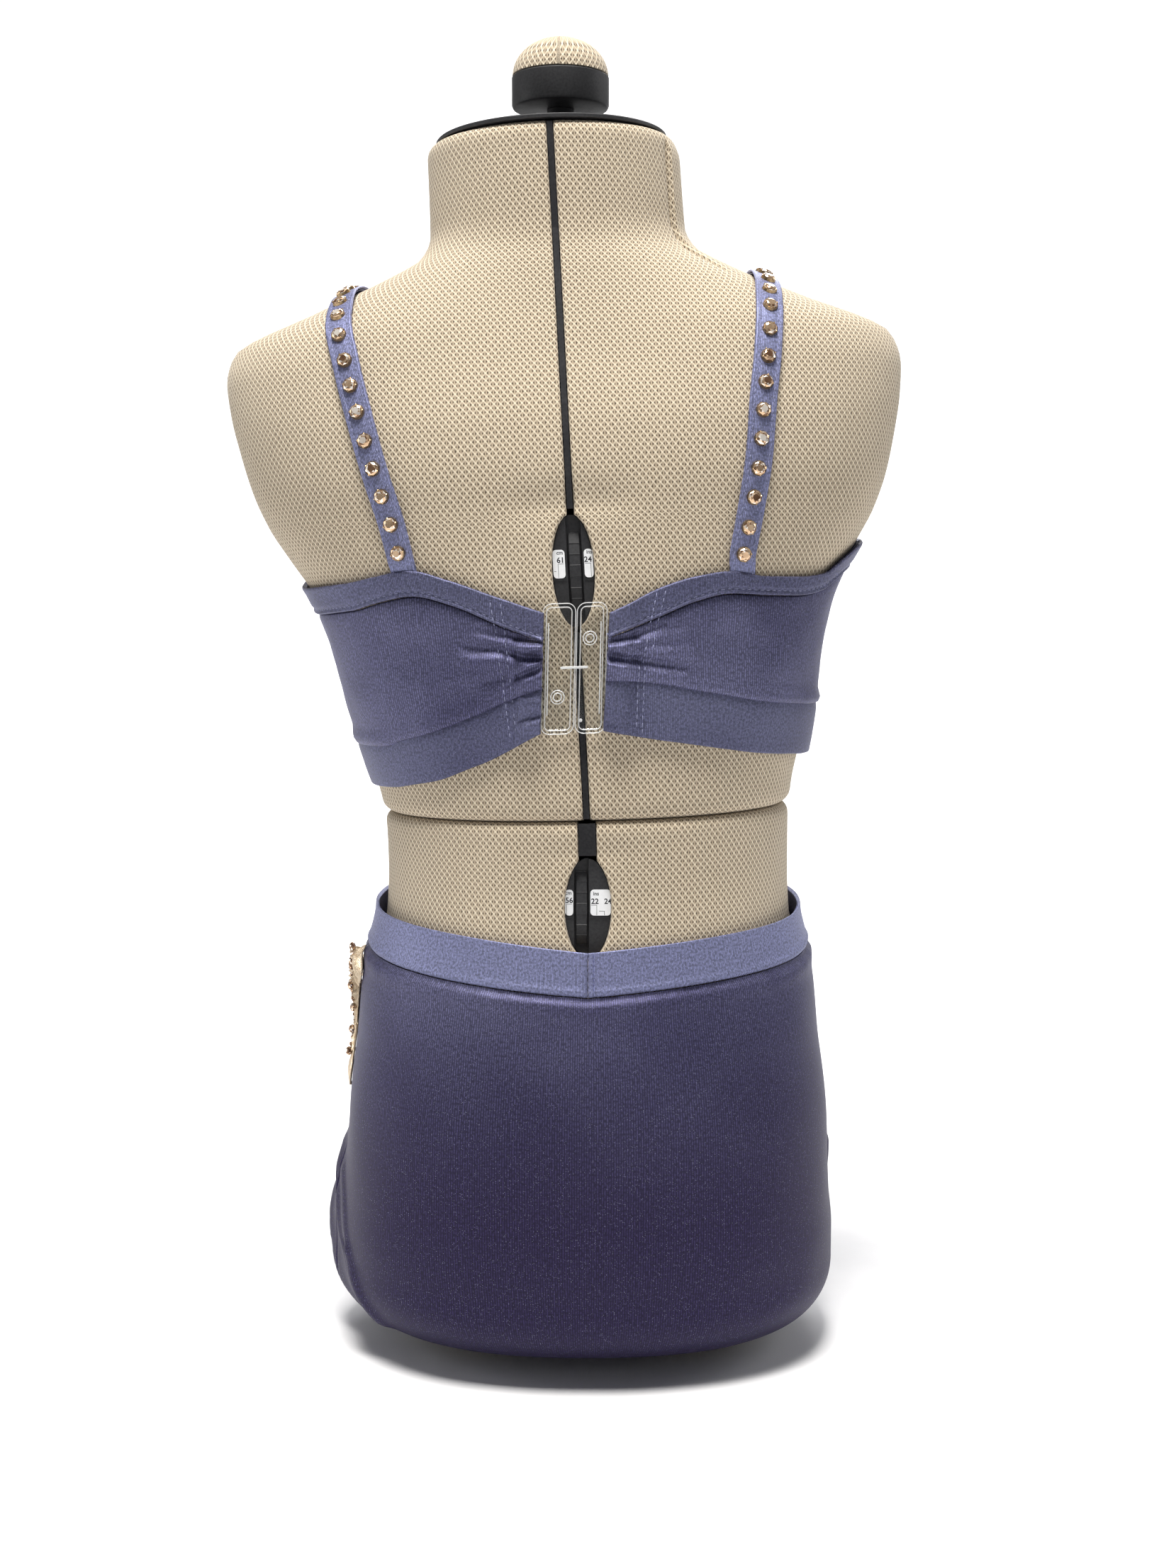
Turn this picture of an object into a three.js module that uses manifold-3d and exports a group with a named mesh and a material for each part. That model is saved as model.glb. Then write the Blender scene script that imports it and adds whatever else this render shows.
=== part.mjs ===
import * as THREE from "three";
import * as BufferGeometryUtils from "three/addons/utils/BufferGeometryUtils.js";
import Module from "manifold-3d";

const wasm = await Module();
wasm.setup();

// All sizes are in millimetres and all turns in degrees. A turn is counted from the centre back, by the
// wearer's right side (90) and the centre front (180) to the left side (270). Heights are above the
// underside of the form; below the corner radius a "reach" goes on round the corner and under the form.
const footHeight = 12;
const footGrooveWidth = 68;
const footGrooveDepth = 3.2;
const footHalfWidth = 66;
const footHalfDepth = 42;
const formHeight = 525;
const splitHeight = 232;
const cornerRadius = 25;
const shellEdgeRadius = 5;
const neckEdgeRadius = 5;
const seamGap = 0.3;
const clothClearance = 1;
const panelThickness = 1.3;
const bandThickness = 1.7;
const bindingThickness = 2.3;
const waistbandThickness = 1.7;
const briefThickness = 1.3;
const strapWidth = 12;
const strapThickness = 1.8;
const formColumnStep = 9;

// The upper half of the form leans to the wearer's left: it runs sideways and tips its levels.
const leanStart = 200;
const leanSpan = 50;
const leanRun = 0.054;
const leanRise = 0.036;

const leftSeamTurn = 276;
const rightSeamTurn = 90;
const claspRightTurn = 8.9;
const claspLeftTurn = 350.2;

const formRows = [
  { height: 0, halfWidth: 110, back: 91, front: 87, power: 2.3 },
  { height: 25, halfWidth: 110, back: 91, front: 87, power: 2.3 },
  { height: 40, halfWidth: 110, back: 93, front: 90, power: 2.3 },
  { height: 57, halfWidth: 108.5, back: 94, front: 92, power: 2.3 },
  { height: 94, halfWidth: 107, back: 94, front: 94, power: 2.25 },
  { height: 131, halfWidth: 102.5, back: 90, front: 94, power: 2.2 },
  { height: 150, halfWidth: 99.5, back: 86, front: 92, power: 2.2 },
  { height: 168, halfWidth: 95.5, back: 82.5, front: 90.5, power: 2.15 },
  { height: 186, halfWidth: 91.5, back: 81, front: 90, power: 2.15 },
  { height: 204, halfWidth: 90.8, back: 80, front: 89, power: 2.15 },
  { height: 224, halfWidth: 91.1, back: 80, front: 87, power: 2.15 },
  { height: 240, halfWidth: 93, back: 80.5, front: 85, power: 2.2 },
  { height: 255, halfWidth: 97, back: 81, front: 83, power: 2.2 },
  { height: 276, halfWidth: 102.4, back: 82, front: 80, power: 2.25 },
  { height: 312, halfWidth: 110.2, back: 83, front: 76, power: 2.3 },
  { height: 331, halfWidth: 117.4, back: 83.5, front: 74, power: 2.3 },
  { height: 345, halfWidth: 126, back: 83, front: 72, power: 2.35 },
  { height: 360, halfWidth: 135, back: 82.5, front: 70, power: 2.35 },
  { height: 375, halfWidth: 141, back: 82, front: 67, power: 2.4 },
  { height: 396, halfWidth: 146.3, back: 79, front: 63, power: 2.4 },
  { height: 410, halfWidth: 148.9, back: 75, front: 57, power: 2.4 },
  { height: 424, halfWidth: 150, back: 70, front: 52, power: 2.4 },
  { height: 436, halfWidth: 146.6, back: 66, front: 48, power: 2.3 },
  { height: 454, halfWidth: 108.7, back: 60, front: 46, power: 2.1 },
  { height: 467, halfWidth: 78, back: 56, front: 47, power: 2 },
  { height: 476, halfWidth: 61, back: 53, front: 49, power: 2 },
  { height: 486, halfWidth: 56, back: 52, front: 50, power: 2 },
  { height: 525, halfWidth: 55, back: 51, front: 51, power: 2 },
];

// Edges of the top, as heights on the form: top edge, binding seam, underband seam and lower edge.
const topRows = [
  { turn: 8, top: 318, binding: 307.5, seam: 292, bottom: 270.5 },
  { turn: 14, top: 322, binding: 311, seam: 291.5, bottom: 268.5 },
  { turn: 23, top: 328, binding: 316, seam: 289.5, bottom: 265 },
  { turn: 33, top: 332.3, binding: 322, seam: 286, bottom: 262 },
  { turn: 41, top: 334, binding: 324.5, seam: 283.4, bottom: 259.7 },
  { turn: 50, top: 331.5, binding: 323.5, seam: 280.5, bottom: 257.2 },
  { turn: 60, top: 331.2, binding: 323, seam: 278.5, bottom: 255.4 },
  { turn: 68, top: 333, binding: 325, seam: 277.5, bottom: 254.5 },
  { turn: 73, top: 339, binding: 329, seam: 277, bottom: 254 },
  { turn: 80, top: 345, binding: 334, seam: 277, bottom: 254 },
  { turn: 90, top: 348, binding: 337, seam: 276.5, bottom: 253.5 },
  { turn: 110, top: 351, binding: 340, seam: 275, bottom: 252 },
  { turn: 130, top: 361, binding: 350, seam: 274, bottom: 251 },
  { turn: 145, top: 349, binding: 338, seam: 273, bottom: 250 },
  { turn: 180, top: 338, binding: 327, seam: 273, bottom: 250 },
  { turn: 215, top: 349, binding: 338, seam: 273, bottom: 250 },
  { turn: 230, top: 361, binding: 350, seam: 272, bottom: 249 },
  { turn: 250, top: 346, binding: 335, seam: 270, bottom: 248 },
  { turn: 270, top: 337, binding: 325.5, seam: 268, bottom: 247 },
  { turn: 285, top: 334.7, binding: 322.5, seam: 266, bottom: 246 },
  { turn: 300, top: 335.2, binding: 323.3, seam: 266, bottom: 246.6 },
  { turn: 308, top: 337, binding: 326, seam: 269, bottom: 248.3 },
  { turn: 317, top: 339, binding: 328, seam: 272, bottom: 250.5 },
  { turn: 327, top: 334, binding: 323.5, seam: 277, bottom: 255.5 },
  { turn: 340, top: 325.3, binding: 313.5, seam: 284.5, bottom: 262.7 },
  { turn: 351, top: 319, binding: 307, seam: 290, bottom: 270.5 },
];

const waistRows = [
  { turn: 0, top: 177, bottom: 158, stand: 0 },
  { turn: 35, top: 181.5, bottom: 162.5, stand: 0.4 },
  { turn: 70, top: 185, bottom: 166.5, stand: 2.2 },
  { turn: 90, top: 188.5, bottom: 169.5, stand: 2.8 },
  { turn: 120, top: 192, bottom: 172.5, stand: 1 },
  { turn: 180, top: 194, bottom: 174.5, stand: 0 },
  { turn: 240, top: 192, bottom: 172.5, stand: 1 },
  { turn: 270, top: 189, bottom: 170, stand: 2.8 },
  { turn: 290, top: 186, bottom: 166.5, stand: 2.2 },
  { turn: 325, top: 182, bottom: 162, stand: 0.4 },
  { turn: 360, top: 177, bottom: 158, stand: 0 },
];

// Lower edge of the brief, under the form: furthest in at the gusset, front and back, and near the rim
// at each leg.
const legRows = [
  { turn: -28, reach: -30.3 },
  { turn: 28, reach: -30.3 },
  { turn: 52, reach: -21 },
  { turn: 90, reach: -18 },
  { turn: 128, reach: -21 },
  { turn: 152, reach: -30.3 },
  { turn: 208, reach: -30.3 },
  { turn: 232, reach: -21 },
  { turn: 270, reach: -18 },
  { turn: 308, reach: -21 },
  { turn: 332, reach: -30.3 },
  { turn: 388, reach: -30.3 },
];

// How far the hip cloth swells off the form at the wearer's left side.
const swellTurn = 269;
const swellSpread = 10;
const swellRows = [
  { reach: -18, lift: 0.5 },
  { reach: -8, lift: 3 },
  { reach: 5, lift: 5.5 },
  { reach: 20, lift: 5 },
  { reach: 45, lift: 6.2 },
  { reach: 60, lift: 5.6 },
  { reach: 76, lift: 1.6 },
  { reach: 90, lift: 0 },
];

// Soft folds, each a ridge from its high end to its low end.
const briefFolds = [
  { turn: 270, reach: 74, endTurn: 282, endReach: 38, lift: 2, spread: 5 },
  { turn: 282, reach: 38, endTurn: 298, endReach: 8, lift: 2, spread: 5 },
  { turn: 266, reach: 48, endTurn: 274, endReach: 18, lift: 1.8, spread: 5 },
  { turn: 274, reach: 18, endTurn: 290, endReach: -6, lift: 1.8, spread: 5 },
  { turn: 94, reach: 72, endTurn: 100, endReach: 56, lift: 2.6, spread: 6 },
];
const topFolds = [
  { turn: 350, reach: 306, endTurn: 341, endReach: 303, lift: 2.4, spread: 2.8 },
  { turn: 341, reach: 303, endTurn: 331, endReach: 300, lift: 1.4, spread: 3.4 },
  { turn: 350, reach: 299.5, endTurn: 341, endReach: 293.5, lift: 2, spread: 2.4 },
  { turn: 350, reach: 293, endTurn: 345, endReach: 290, lift: 1.4, spread: 2 },
  { turn: 9, reach: 304.5, endTurn: 17, endReach: 300.5, lift: 2.4, spread: 2.8 },
  { turn: 17, reach: 300.5, endTurn: 25, endReach: 299.5, lift: 1.4, spread: 3.2 },
  { turn: 9, reach: 297.5, endTurn: 15, endReach: 295, lift: 1.8, spread: 2.4 },
  { turn: 30, reach: 300, endTurn: 60, endReach: 292, lift: 0.7, spread: 7 },
  { turn: 328, reach: 298, endTurn: 296, endReach: 284, lift: 0.8, spread: 7 },
];
const degreeLength = 1.7;

// Straps: how far each lies from the middle, by the angle about a point inside the shoulders.
const strapPivotHeight = 380;
const strapRows = [
  { angle: -29, left: 70, right: 69.5 },
  { angle: -17, left: 73.5, right: 73.8 },
  { angle: 0, left: 79.5, right: 78.5 },
  { angle: 19, left: 85, right: 81.8 },
  { angle: 36, left: 89.5, right: 85.4 },
  { angle: 53, left: 93, right: 88 },
  { angle: 68, left: 92.5, right: 89 },
  { angle: 90, left: 90, right: 88.5 },
  { angle: 120, left: 85, right: 85 },
  { angle: 150, left: 79, right: 80 },
  { angle: 200, left: 72, right: 73 },
];
const strapRowCount = 22;
const stonePitch = 12;
const stoneRadius = 3.3;
const stoneTopRadius = 2;
const stoneHeight = 3;
const stoneSides = 6;
const stoneSink = 1;
const firstStone = 7.5;

// Centre-back opening of the form, with its two adjusting dials.
const spineWidth = 3;
const lowerSpineWidth = 7.8;
const spineDepth = 5;
const spineRecess = 1;
const spineStep = 15;
const bustDial = { height: 336, halfWidth: 8.8, halfHeight: 23.5, wheelX: 0.8 };
const waistDial = { height: 195, halfWidth: 10, halfHeight: 21.5, wheelX: -2.7 };
const dialDepth = 7;
const dialPlateRecess = 3.4;
const wheelWidth = 4.6;
const wheelRadius = 19;
const wheelSides = 26;
const wheelRise = 2.2;

const claspBottom = 269;
const claspTop = 323;
const claspSplit = 0.4;
const claspPlateHalf = 13.4;
const claspFlangeHalf = 17.6;
const claspFlangeInset = 3.5;
const claspThickness = 2;
const claspFlangeThickness = 1.2;
const claspClearance = 0.9;
const claspCornerRadius = 3.6;
const claspBossRadius = 3;
const claspBossHeight = 0.6;
const claspTilt = 0.075;
const claspTiltHeight = 322;
const claspCover = 2.8;
const claspCoverReach = 7.5;
const claspCoverFade = 11;

// The wing ends follow the clasp, which stays upright while the form leans.
const wingTilt = { right: { slope: 0.1, height: 317, run: 0.4 }, left: { slope: 0.086, height: 319, run: 1.6 } };
const wingTiltReach = 4;
const wingTiltFade = 30;
const wingDegreeLength = 1.45;

const neckPlateHalf = 51;
const neckPlateThickness = 1.8;
const knobOffset = 4;
const knobRadius = 21.5;
const knobBandBottom = 540.5;
const knobBandHeight = 14;
const knobDomeHeight = 16.5;
const knobStemRadius = 6;

// Leaf spray on the left hip: stems as (run forward from the side seam, height), leaves along them.
const spraySeat = 0.5;
const sprayStems = [
  [[-1, 163], [4, 152], [8, 140], [9, 127], [7, 111]],
  [[2, 157], [22, 150], [45, 147], [68, 151], [88, 160]],
  [[6, 146], [24, 136], [40, 133], [55, 136]],
];
const sprayLeafPitch = 18;
const sprayLeafLength = 17;
const sprayLeafWidth = 8.4;
const sprayLeafRoot = 2;
const sprayLeafSpread = 42;
const sprayLeafThickness = 1.2;
const sprayLeafCrown = 1.5;
const sprayStemWidth = 2.4;
const sprayBeadRadius = 2.7;
const sprayBeadHeight = 3;
const sprayDegreeLength = 1.85;

const finishes = {
  knit: { color: 0xc4b294, roughness: 0.95, metalness: 0 },
  black: { color: 0x2b2b2d, roughness: 0.45, metalness: 0 },
  satin: { color: 0x5b5f92, roughness: 0.55, metalness: 0 },
  clear: { color: 0xe8ecec, roughness: 0.1, metalness: 0, transparent: true, opacity: 0.35 },
  gold: { color: 0xb9935a, roughness: 0.5, metalness: 0.3 },
};

const costume = new THREE.Group();
const dressed = new THREE.Group();
dressed.position.z = footHeight;
costume.add(dressed);

function secant(rows, key, column, index) {
  const low = rows[index];
  const high = rows[index + 1];
  return (high[column] - low[column]) / (high[key] - low[key]);
}

function slopeAt(rows, key, column, index) {
  if (index === 0) return secant(rows, key, column, 0);
  if (index === rows.length - 1) return secant(rows, key, column, index - 1);
  const before = secant(rows, key, column, index - 1);
  const after = secant(rows, key, column, index);
  return before * after > 0 ? (2 * before * after) / (before + after) : 0;
}

// Reads one column of a table at any place between its rows, on a smooth curve that never overshoots.
function readRow(rows, key, column, place) {
  const spot = THREE.MathUtils.clamp(place, rows[0][key], rows[rows.length - 1][key]);
  let index = 0;
  while (index < rows.length - 2 && rows[index + 1][key] < spot) index += 1;
  const width = rows[index + 1][key] - rows[index][key];
  const t = (spot - rows[index][key]) / width;
  const start = rows[index][column];
  const end = rows[index + 1][column];
  const leave = slopeAt(rows, key, column, index) * width;
  const arrive = slopeAt(rows, key, column, index + 1) * width;
  const bend = 3 * (end - start) - 2 * leave - arrive;
  const twist = 2 * (start - end) + leave + arrive;
  return start + leave * t + bend * t * t + twist * t * t * t;
}

function sectionAt(reach) {
  if (reach >= cornerRadius) return { height: reach, inset: 0 };
  const turned = (cornerRadius - reach) / cornerRadius;
  if (turned <= Math.PI / 2) {
    return { height: cornerRadius * (1 - Math.sin(turned)), inset: cornerRadius * (1 - Math.cos(turned)) };
  }
  return { height: 0, inset: cornerRadius * (1 + turned - Math.PI / 2) };
}

function formSize(height) {
  return {
    halfWidth: readRow(formRows, "height", "halfWidth", height),
    back: readRow(formRows, "height", "back", height),
    front: readRow(formRows, "height", "front", height),
    power: readRow(formRows, "height", "power", height),
  };
}

// A point of the form's skin, with its ring drawn in by "shrink".
function formPoint(turn, reach, shrink = 0) {
  const { height, inset } = sectionAt(reach);
  const size = formSize(Math.max(height, cornerRadius));
  const angle = THREE.MathUtils.degToRad(turn - 90);
  const across = Math.cos(angle);
  const along = Math.sin(angle);
  const halfWidth = size.halfWidth - inset - shrink;
  const depth = (along < 0 ? size.back : size.front) - inset - shrink;
  const sum = (Math.abs(across) / halfWidth) ** size.power + (Math.abs(along) / depth) ** size.power;
  const radius = sum ** (-1 / size.power);
  return new THREE.Vector3(radius * across, radius * along, height);
}

function formNormal(turn, reach) {
  const step = 0.5;
  const aside = formPoint(turn + step, reach).sub(formPoint(turn - step, reach));
  const above = formPoint(turn, reach + step).sub(formPoint(turn, reach - step));
  return aside.cross(above).normalize();
}

function clothPoint(turn, reach, offset) {
  return formPoint(turn, reach).addScaledVector(formNormal(turn, reach), offset);
}

// Depth of the form's back at a distance from the middle.
function backDepth(x, height) {
  const size = formSize(height);
  return size.back * (1 - (Math.abs(x) / size.halfWidth) ** size.power) ** (1 / size.power);
}

// Every point of the dressed form above the waist follows the form's lean.
function leanPoint(point) {
  const t = THREE.MathUtils.clamp((point.z - leanStart) / leanSpan, 0, 1);
  const above = Math.max(0, point.z - leanStart - leanSpan);
  const run = leanRun * (0.5 * leanSpan * t * t + above);
  return new THREE.Vector3(point.x - run, point.y, point.z + leanRise * t * point.x);
}

function span(start, end, count) {
  return Array.from({ length: count + 1 }, (_, index) => start + ((end - start) * index) / count);
}

// A closed solid from points and triangles, turned right side out.
function solidFrom(points, faces) {
  const corner = new THREE.Vector3();
  let volume = 0;
  for (let index = 0; index < faces.length; index += 3) {
    const [a, b, c] = [faces[index], faces[index + 1], faces[index + 2]].map((face) => points[face]);
    volume += a.dot(corner.crossVectors(b, c));
  }
  const ordered = volume < 0 ? [...faces].reverse() : faces;
  const geometry = new THREE.BufferGeometry();
  geometry.setAttribute("position", new THREE.Float32BufferAttribute(points.flatMap((p) => p.toArray()), 3));
  geometry.setIndex(ordered);
  return geometry;
}

// A wall between an inner (side 0) and an outer (side 1) grid of points, closed at its four edges.
function wallSolid(columnCount, rowCount, place) {
  const points = [];
  for (const side of [0, 1]) {
    for (let column = 0; column < columnCount; column += 1) {
      for (let row = 0; row < rowCount; row += 1) points.push(place(column, row, side));
    }
  }
  const faces = [];
  const at = (side, column, row) => (side * columnCount + column) * rowCount + row;
  const quad = (a, b, c, d) => faces.push(a, b, c, a, c, d);
  const lastRow = rowCount - 1;
  const lastColumn = columnCount - 1;
  for (let column = 0; column < lastColumn; column += 1) {
    const next = column + 1;
    for (let row = 0; row < lastRow; row += 1) {
      quad(at(1, column, row), at(1, next, row), at(1, next, row + 1), at(1, column, row + 1));
      quad(at(0, column, row), at(0, column, row + 1), at(0, next, row + 1), at(0, next, row));
    }
    quad(at(0, column, 0), at(0, next, 0), at(1, next, 0), at(1, column, 0));
    quad(at(0, column, lastRow), at(1, column, lastRow), at(1, next, lastRow), at(0, next, lastRow));
  }
  for (let row = 0; row < lastRow; row += 1) {
    const next = row + 1;
    quad(at(0, 0, row), at(1, 0, row), at(1, 0, next), at(0, 0, next));
    quad(at(0, lastColumn, row), at(0, lastColumn, next), at(1, lastColumn, next), at(1, lastColumn, row));
  }
  return solidFrom(points, faces);
}

// A solid through closed rings of points, with a flat cap at each end.
function ringSolid(rings) {
  const count = rings[0].length;
  const points = rings.flat();
  const faces = [];
  for (let ring = 0; ring < rings.length - 1; ring += 1) {
    for (let index = 0; index < count; index += 1) {
      const next = (index + 1) % count;
      const [a, b, c, d] = [ring * count + index, ring * count + next, (ring + 1) * count + next, (ring + 1) * count + index];
      faces.push(a, b, c, a, c, d);
    }
  }
  const middle = (ring) => ring.reduce((sum, p) => sum.add(p), new THREE.Vector3()).divideScalar(count);
  const low = points.push(middle(rings[0])) - 1;
  const high = points.push(middle(rings[rings.length - 1])) - 1;
  const top = (rings.length - 1) * count;
  for (let index = 0; index < count; index += 1) {
    const next = (index + 1) % count;
    faces.push(next, index, low);
    faces.push(top + index, top + next, high);
  }
  return solidFrom(points, faces);
}

function toManifold(geometry) {
  const plain = geometry.clone();
  plain.deleteAttribute("normal");
  plain.deleteAttribute("uv");
  const merged = BufferGeometryUtils.mergeVertices(plain, 1e-4);
  return new wasm.Manifold(new wasm.Mesh({
    numProp: 3,
    vertProperties: new Float32Array(merged.attributes.position.array),
    triVerts: new Uint32Array(merged.index.array),
  }));
}

function fromManifold(manifold) {
  const mesh = manifold.getMesh();
  const geometry = new THREE.BufferGeometry();
  const positions = new Float32Array((mesh.vertProperties.length / mesh.numProp) * 3);
  for (let index = 0; index < positions.length / 3; index += 1) {
    for (let axis = 0; axis < 3; axis += 1) {
      positions[index * 3 + axis] = mesh.vertProperties[index * mesh.numProp + axis];
    }
  }
  geometry.setAttribute("position", new THREE.BufferAttribute(positions, 3));
  geometry.setIndex([...mesh.triVerts]);
  return geometry;
}

function fuse(geometries) {
  const whole = geometries.map(toManifold).reduce((sum, next) => sum.add(next));
  return fromManifold(whole);
}

function addPiece(name, geometry, finish, group = dressed, leans = true) {
  const plain = geometry.clone();
  plain.deleteAttribute("normal");
  plain.deleteAttribute("uv");
  const merged = BufferGeometryUtils.mergeVertices(plain, 1e-4);
  const position = merged.attributes.position;
  const point = new THREE.Vector3();
  for (let index = 0; leans && index < position.count; index += 1) {
    const leaned = leanPoint(point.fromBufferAttribute(position, index));
    position.setXYZ(index, leaned.x, leaned.y, leaned.z);
  }
  merged.computeVertexNormals();
  const mesh = new THREE.Mesh(merged, new THREE.MeshStandardMaterial(finishes[finish]));
  mesh.name = name;
  group.add(mesh);
  return mesh;
}

// The form
function formRing(reach, shrink = 0) {
  const turns = span(0, 360, 360 / formColumnStep).slice(0, -1);
  return turns.map((turn) => formPoint(turn, reach, shrink));
}

// Ring pulled in along a quarter round, "past" millimetres before the edge.
function edgeShrink(past, radius) {
  const depth = THREE.MathUtils.clamp(radius - past, 0, radius);
  return radius - Math.sqrt(radius * radius - depth * depth);
}

// Heights of the centre-back slot and its filling, on shared levels so that their faces stay parallel
function spineLevels(low, high) {
  const levels = [low];
  for (let level = Math.ceil((low + 3) / spineStep) * spineStep; level < high - 3; level += spineStep) {
    levels.push(level);
  }
  return [...levels, high];
}

function backBlock(xLow, xHigh, heights, inner, outer) {
  const sides = [xLow, xHigh];
  return wallSolid(2, heights.length, (column, row, side) => {
    const depth = backDepth(0, heights[row]) + (side ? outer : -inner);
    return new THREE.Vector3(sides[column], -depth, heights[row]);
  });
}

function ovalBlock(dial, margin, inner, outer) {
  const outline = new THREE.Shape();
  outline.absellipse(0, 0, dial.halfWidth - margin, dial.halfHeight - margin, 0, Math.PI * 2);
  const depth = outer - inner;
  const block = new THREE.ExtrudeGeometry(outline, { depth, bevelEnabled: false, curveSegments: 12 });
  block.rotateX(Math.PI / 2);
  block.translate(0, -inner, dial.height);
  return block;
}

function buildFormLower() {
  const cornerTurns = span(90, 0, 5).map((turned) => cornerRadius * (1 - THREE.MathUtils.degToRad(turned)));
  const rings = cornerTurns.map((reach) => formRing(reach));
  const top = splitHeight - seamGap;
  for (const height of [42, 60, 78, 96, 114, 132, 148, 162, 176, 190, 204, 216]) rings.push(formRing(height));
  for (const past of [shellEdgeRadius, 0.5 * shellEdgeRadius, 0.15 * shellEdgeRadius, 0]) {
    rings.push(formRing(top - past, edgeShrink(past, shellEdgeRadius)));
  }
  const shell = toManifold(ringSolid(rings));
  const backEdge = formSize(waistDial.height).back;
  const oval = toManifold(ovalBlock(waistDial, 0, backEdge - dialDepth, backEdge + 4));
  const slotHeights = spineLevels(waistDial.height, splitHeight + 4);
  const half = lowerSpineWidth / 2;
  const slot = toManifold(backBlock(-half, half, slotHeights, spineDepth, 4));
  addPiece("form_lower", fromManifold(shell.subtract(oval).subtract(slot)), "knit");
}

function buildFormUpper() {
  const rings = [0, 0.15 * shellEdgeRadius, 0.5 * shellEdgeRadius, shellEdgeRadius].map((past) =>
    formRing(splitHeight + past, edgeShrink(past, shellEdgeRadius)));
  const body = [252, 268, 286, 304, 320, 334, 348, 362, 378, 394, 408, 420, 429];
  const shoulders = [435, 441, 447, 454, 461, 467, 472, 478, 486];
  for (const height of [...body, ...shoulders]) rings.push(formRing(height));
  for (const past of [neckEdgeRadius, 0.4 * neckEdgeRadius, 0]) {
    rings.push(formRing(formHeight - past, edgeShrink(past, neckEdgeRadius)));
  }
  const shell = toManifold(ringSolid(rings));
  const backEdge = formSize(bustDial.height).back;
  const oval = toManifold(ovalBlock(bustDial, 0, backEdge - dialDepth, backEdge + 4));
  const slotHeights = spineLevels(splitHeight - 4, formHeight + 4);
  const half = spineWidth / 2;
  const slot = toManifold(backBlock(-half, half, slotHeights, spineDepth, 8));
  addPiece("form_upper", fromManifold(shell.subtract(oval).subtract(slot)), "knit");
}

function buildSpine(name, width, low, high) {
  const half = width / 2 - seamGap;
  addPiece(name, backBlock(-half, half, spineLevels(low, high), spineDepth - seamGap, -spineRecess), "black");
}

function buildDial(name, dial) {
  const backEdge = formSize(dial.height).back;
  const floor = backEdge - dialDepth + seamGap;
  const face = backEdge - dialPlateRecess;
  const plate = toManifold(ovalBlock(dial, seamGap, floor, face));
  const wheel = new THREE.CylinderGeometry(wheelRadius, wheelRadius, wheelWidth, wheelSides);
  wheel.rotateZ(Math.PI / 2);
  wheel.translate(dial.wheelX, -(face + wheelRise - wheelRadius), dial.height);
  const room = toManifold(ovalBlock(dial, 1, floor + 1, face + wheelRise + 1));
  addPiece(name, fromManifold(plate.add(toManifold(wheel).intersect(room))), "black");
}

function turned(profile, segments = 18) {
  const outline = profile.map(([radius, height]) => new THREE.Vector2(radius, height));
  const geometry = new THREE.LatheGeometry(outline, segments);
  geometry.rotateX(Math.PI / 2);
  return geometry;
}

// The knob stands a little nearer the middle than the leaning neck, and upright.
function buildKnob() {
  const centre = leanPoint(new THREE.Vector3(0, 0, formHeight));
  const knobX = centre.x + knobOffset;
  const plateLow = formHeight + seamGap;
  const plateHigh = plateLow + neckPlateThickness;
  const half = neckPlateHalf;
  addPiece("neck_plate", turned([[0, plateLow], [half, plateLow], [half, plateHigh - 0.6], [half - 0.6, plateHigh],
    [0, plateHigh]]), "black");
  const stemLow = plateHigh + leanRise * knobOffset + seamGap + 0.4;
  const stemHigh = knobBandBottom - seamGap;
  const bandTop = knobBandBottom + knobBandHeight;
  const domeLow = bandTop + seamGap;
  const rim = knobRadius - 1.5;
  const pieces = {
    knob_stem: [[0, stemLow], [knobStemRadius, stemLow], [knobStemRadius, stemHigh], [0, stemHigh]],
    knob_band: [[0, knobBandBottom], [rim, knobBandBottom], [knobRadius, knobBandBottom + 1.5], [knobRadius, bandTop],
      [0, bandTop]],
    knob_dome: [[0, domeLow], ...span(0, 90, 6).map((rise) => {
      const angle = THREE.MathUtils.degToRad(rise);
      return [knobRadius * Math.cos(angle), domeLow + knobDomeHeight * Math.sin(angle)];
    }).slice(0, -1), [0, domeLow + knobDomeHeight]],
  };
  for (const [name, profile] of Object.entries(pieces)) {
    const geometry = turned(profile);
    geometry.translate(knobX, 0, 0);
    addPiece(name, geometry, name === "knob_dome" ? "knit" : "black", dressed, false);
  }
}

// Plain oval foot, hollowed along its top where the gusset passes
function buildFoot() {
  const outline = new THREE.Shape();
  outline.absellipse(0, 0, footHalfWidth, footHalfDepth, 0, Math.PI * 2);
  const top = footHeight - seamGap;
  const foot = new THREE.ExtrudeGeometry(outline, { depth: top, bevelEnabled: false, curveSegments: 24 });
  const groove = new THREE.BoxGeometry(footGrooveWidth, 3 * footHalfDepth, 2 * footGrooveDepth);
  groove.translate(0, 0, top);
  addPiece("base_foot", fromManifold(toManifold(foot).subtract(toManifold(groove))), "black", costume, false);
}

// The cloth
function foldLift(folds, turn, reach) {
  let lift = 0;
  for (const fold of folds) {
    const run = [(fold.endTurn - fold.turn) * degreeLength, fold.endReach - fold.reach];
    const away = [(turn - fold.turn) * degreeLength, reach - fold.reach];
    const length = Math.hypot(...run);
    const along = THREE.MathUtils.clamp((away[0] * run[0] + away[1] * run[1]) / length ** 2, 0, 1);
    const distance = Math.hypot(away[0] - along * run[0], away[1] - along * run[1]);
    lift = Math.max(lift, fold.lift * Math.exp(-((distance / fold.spread) ** 2)));
  }
  return lift;
}

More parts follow.
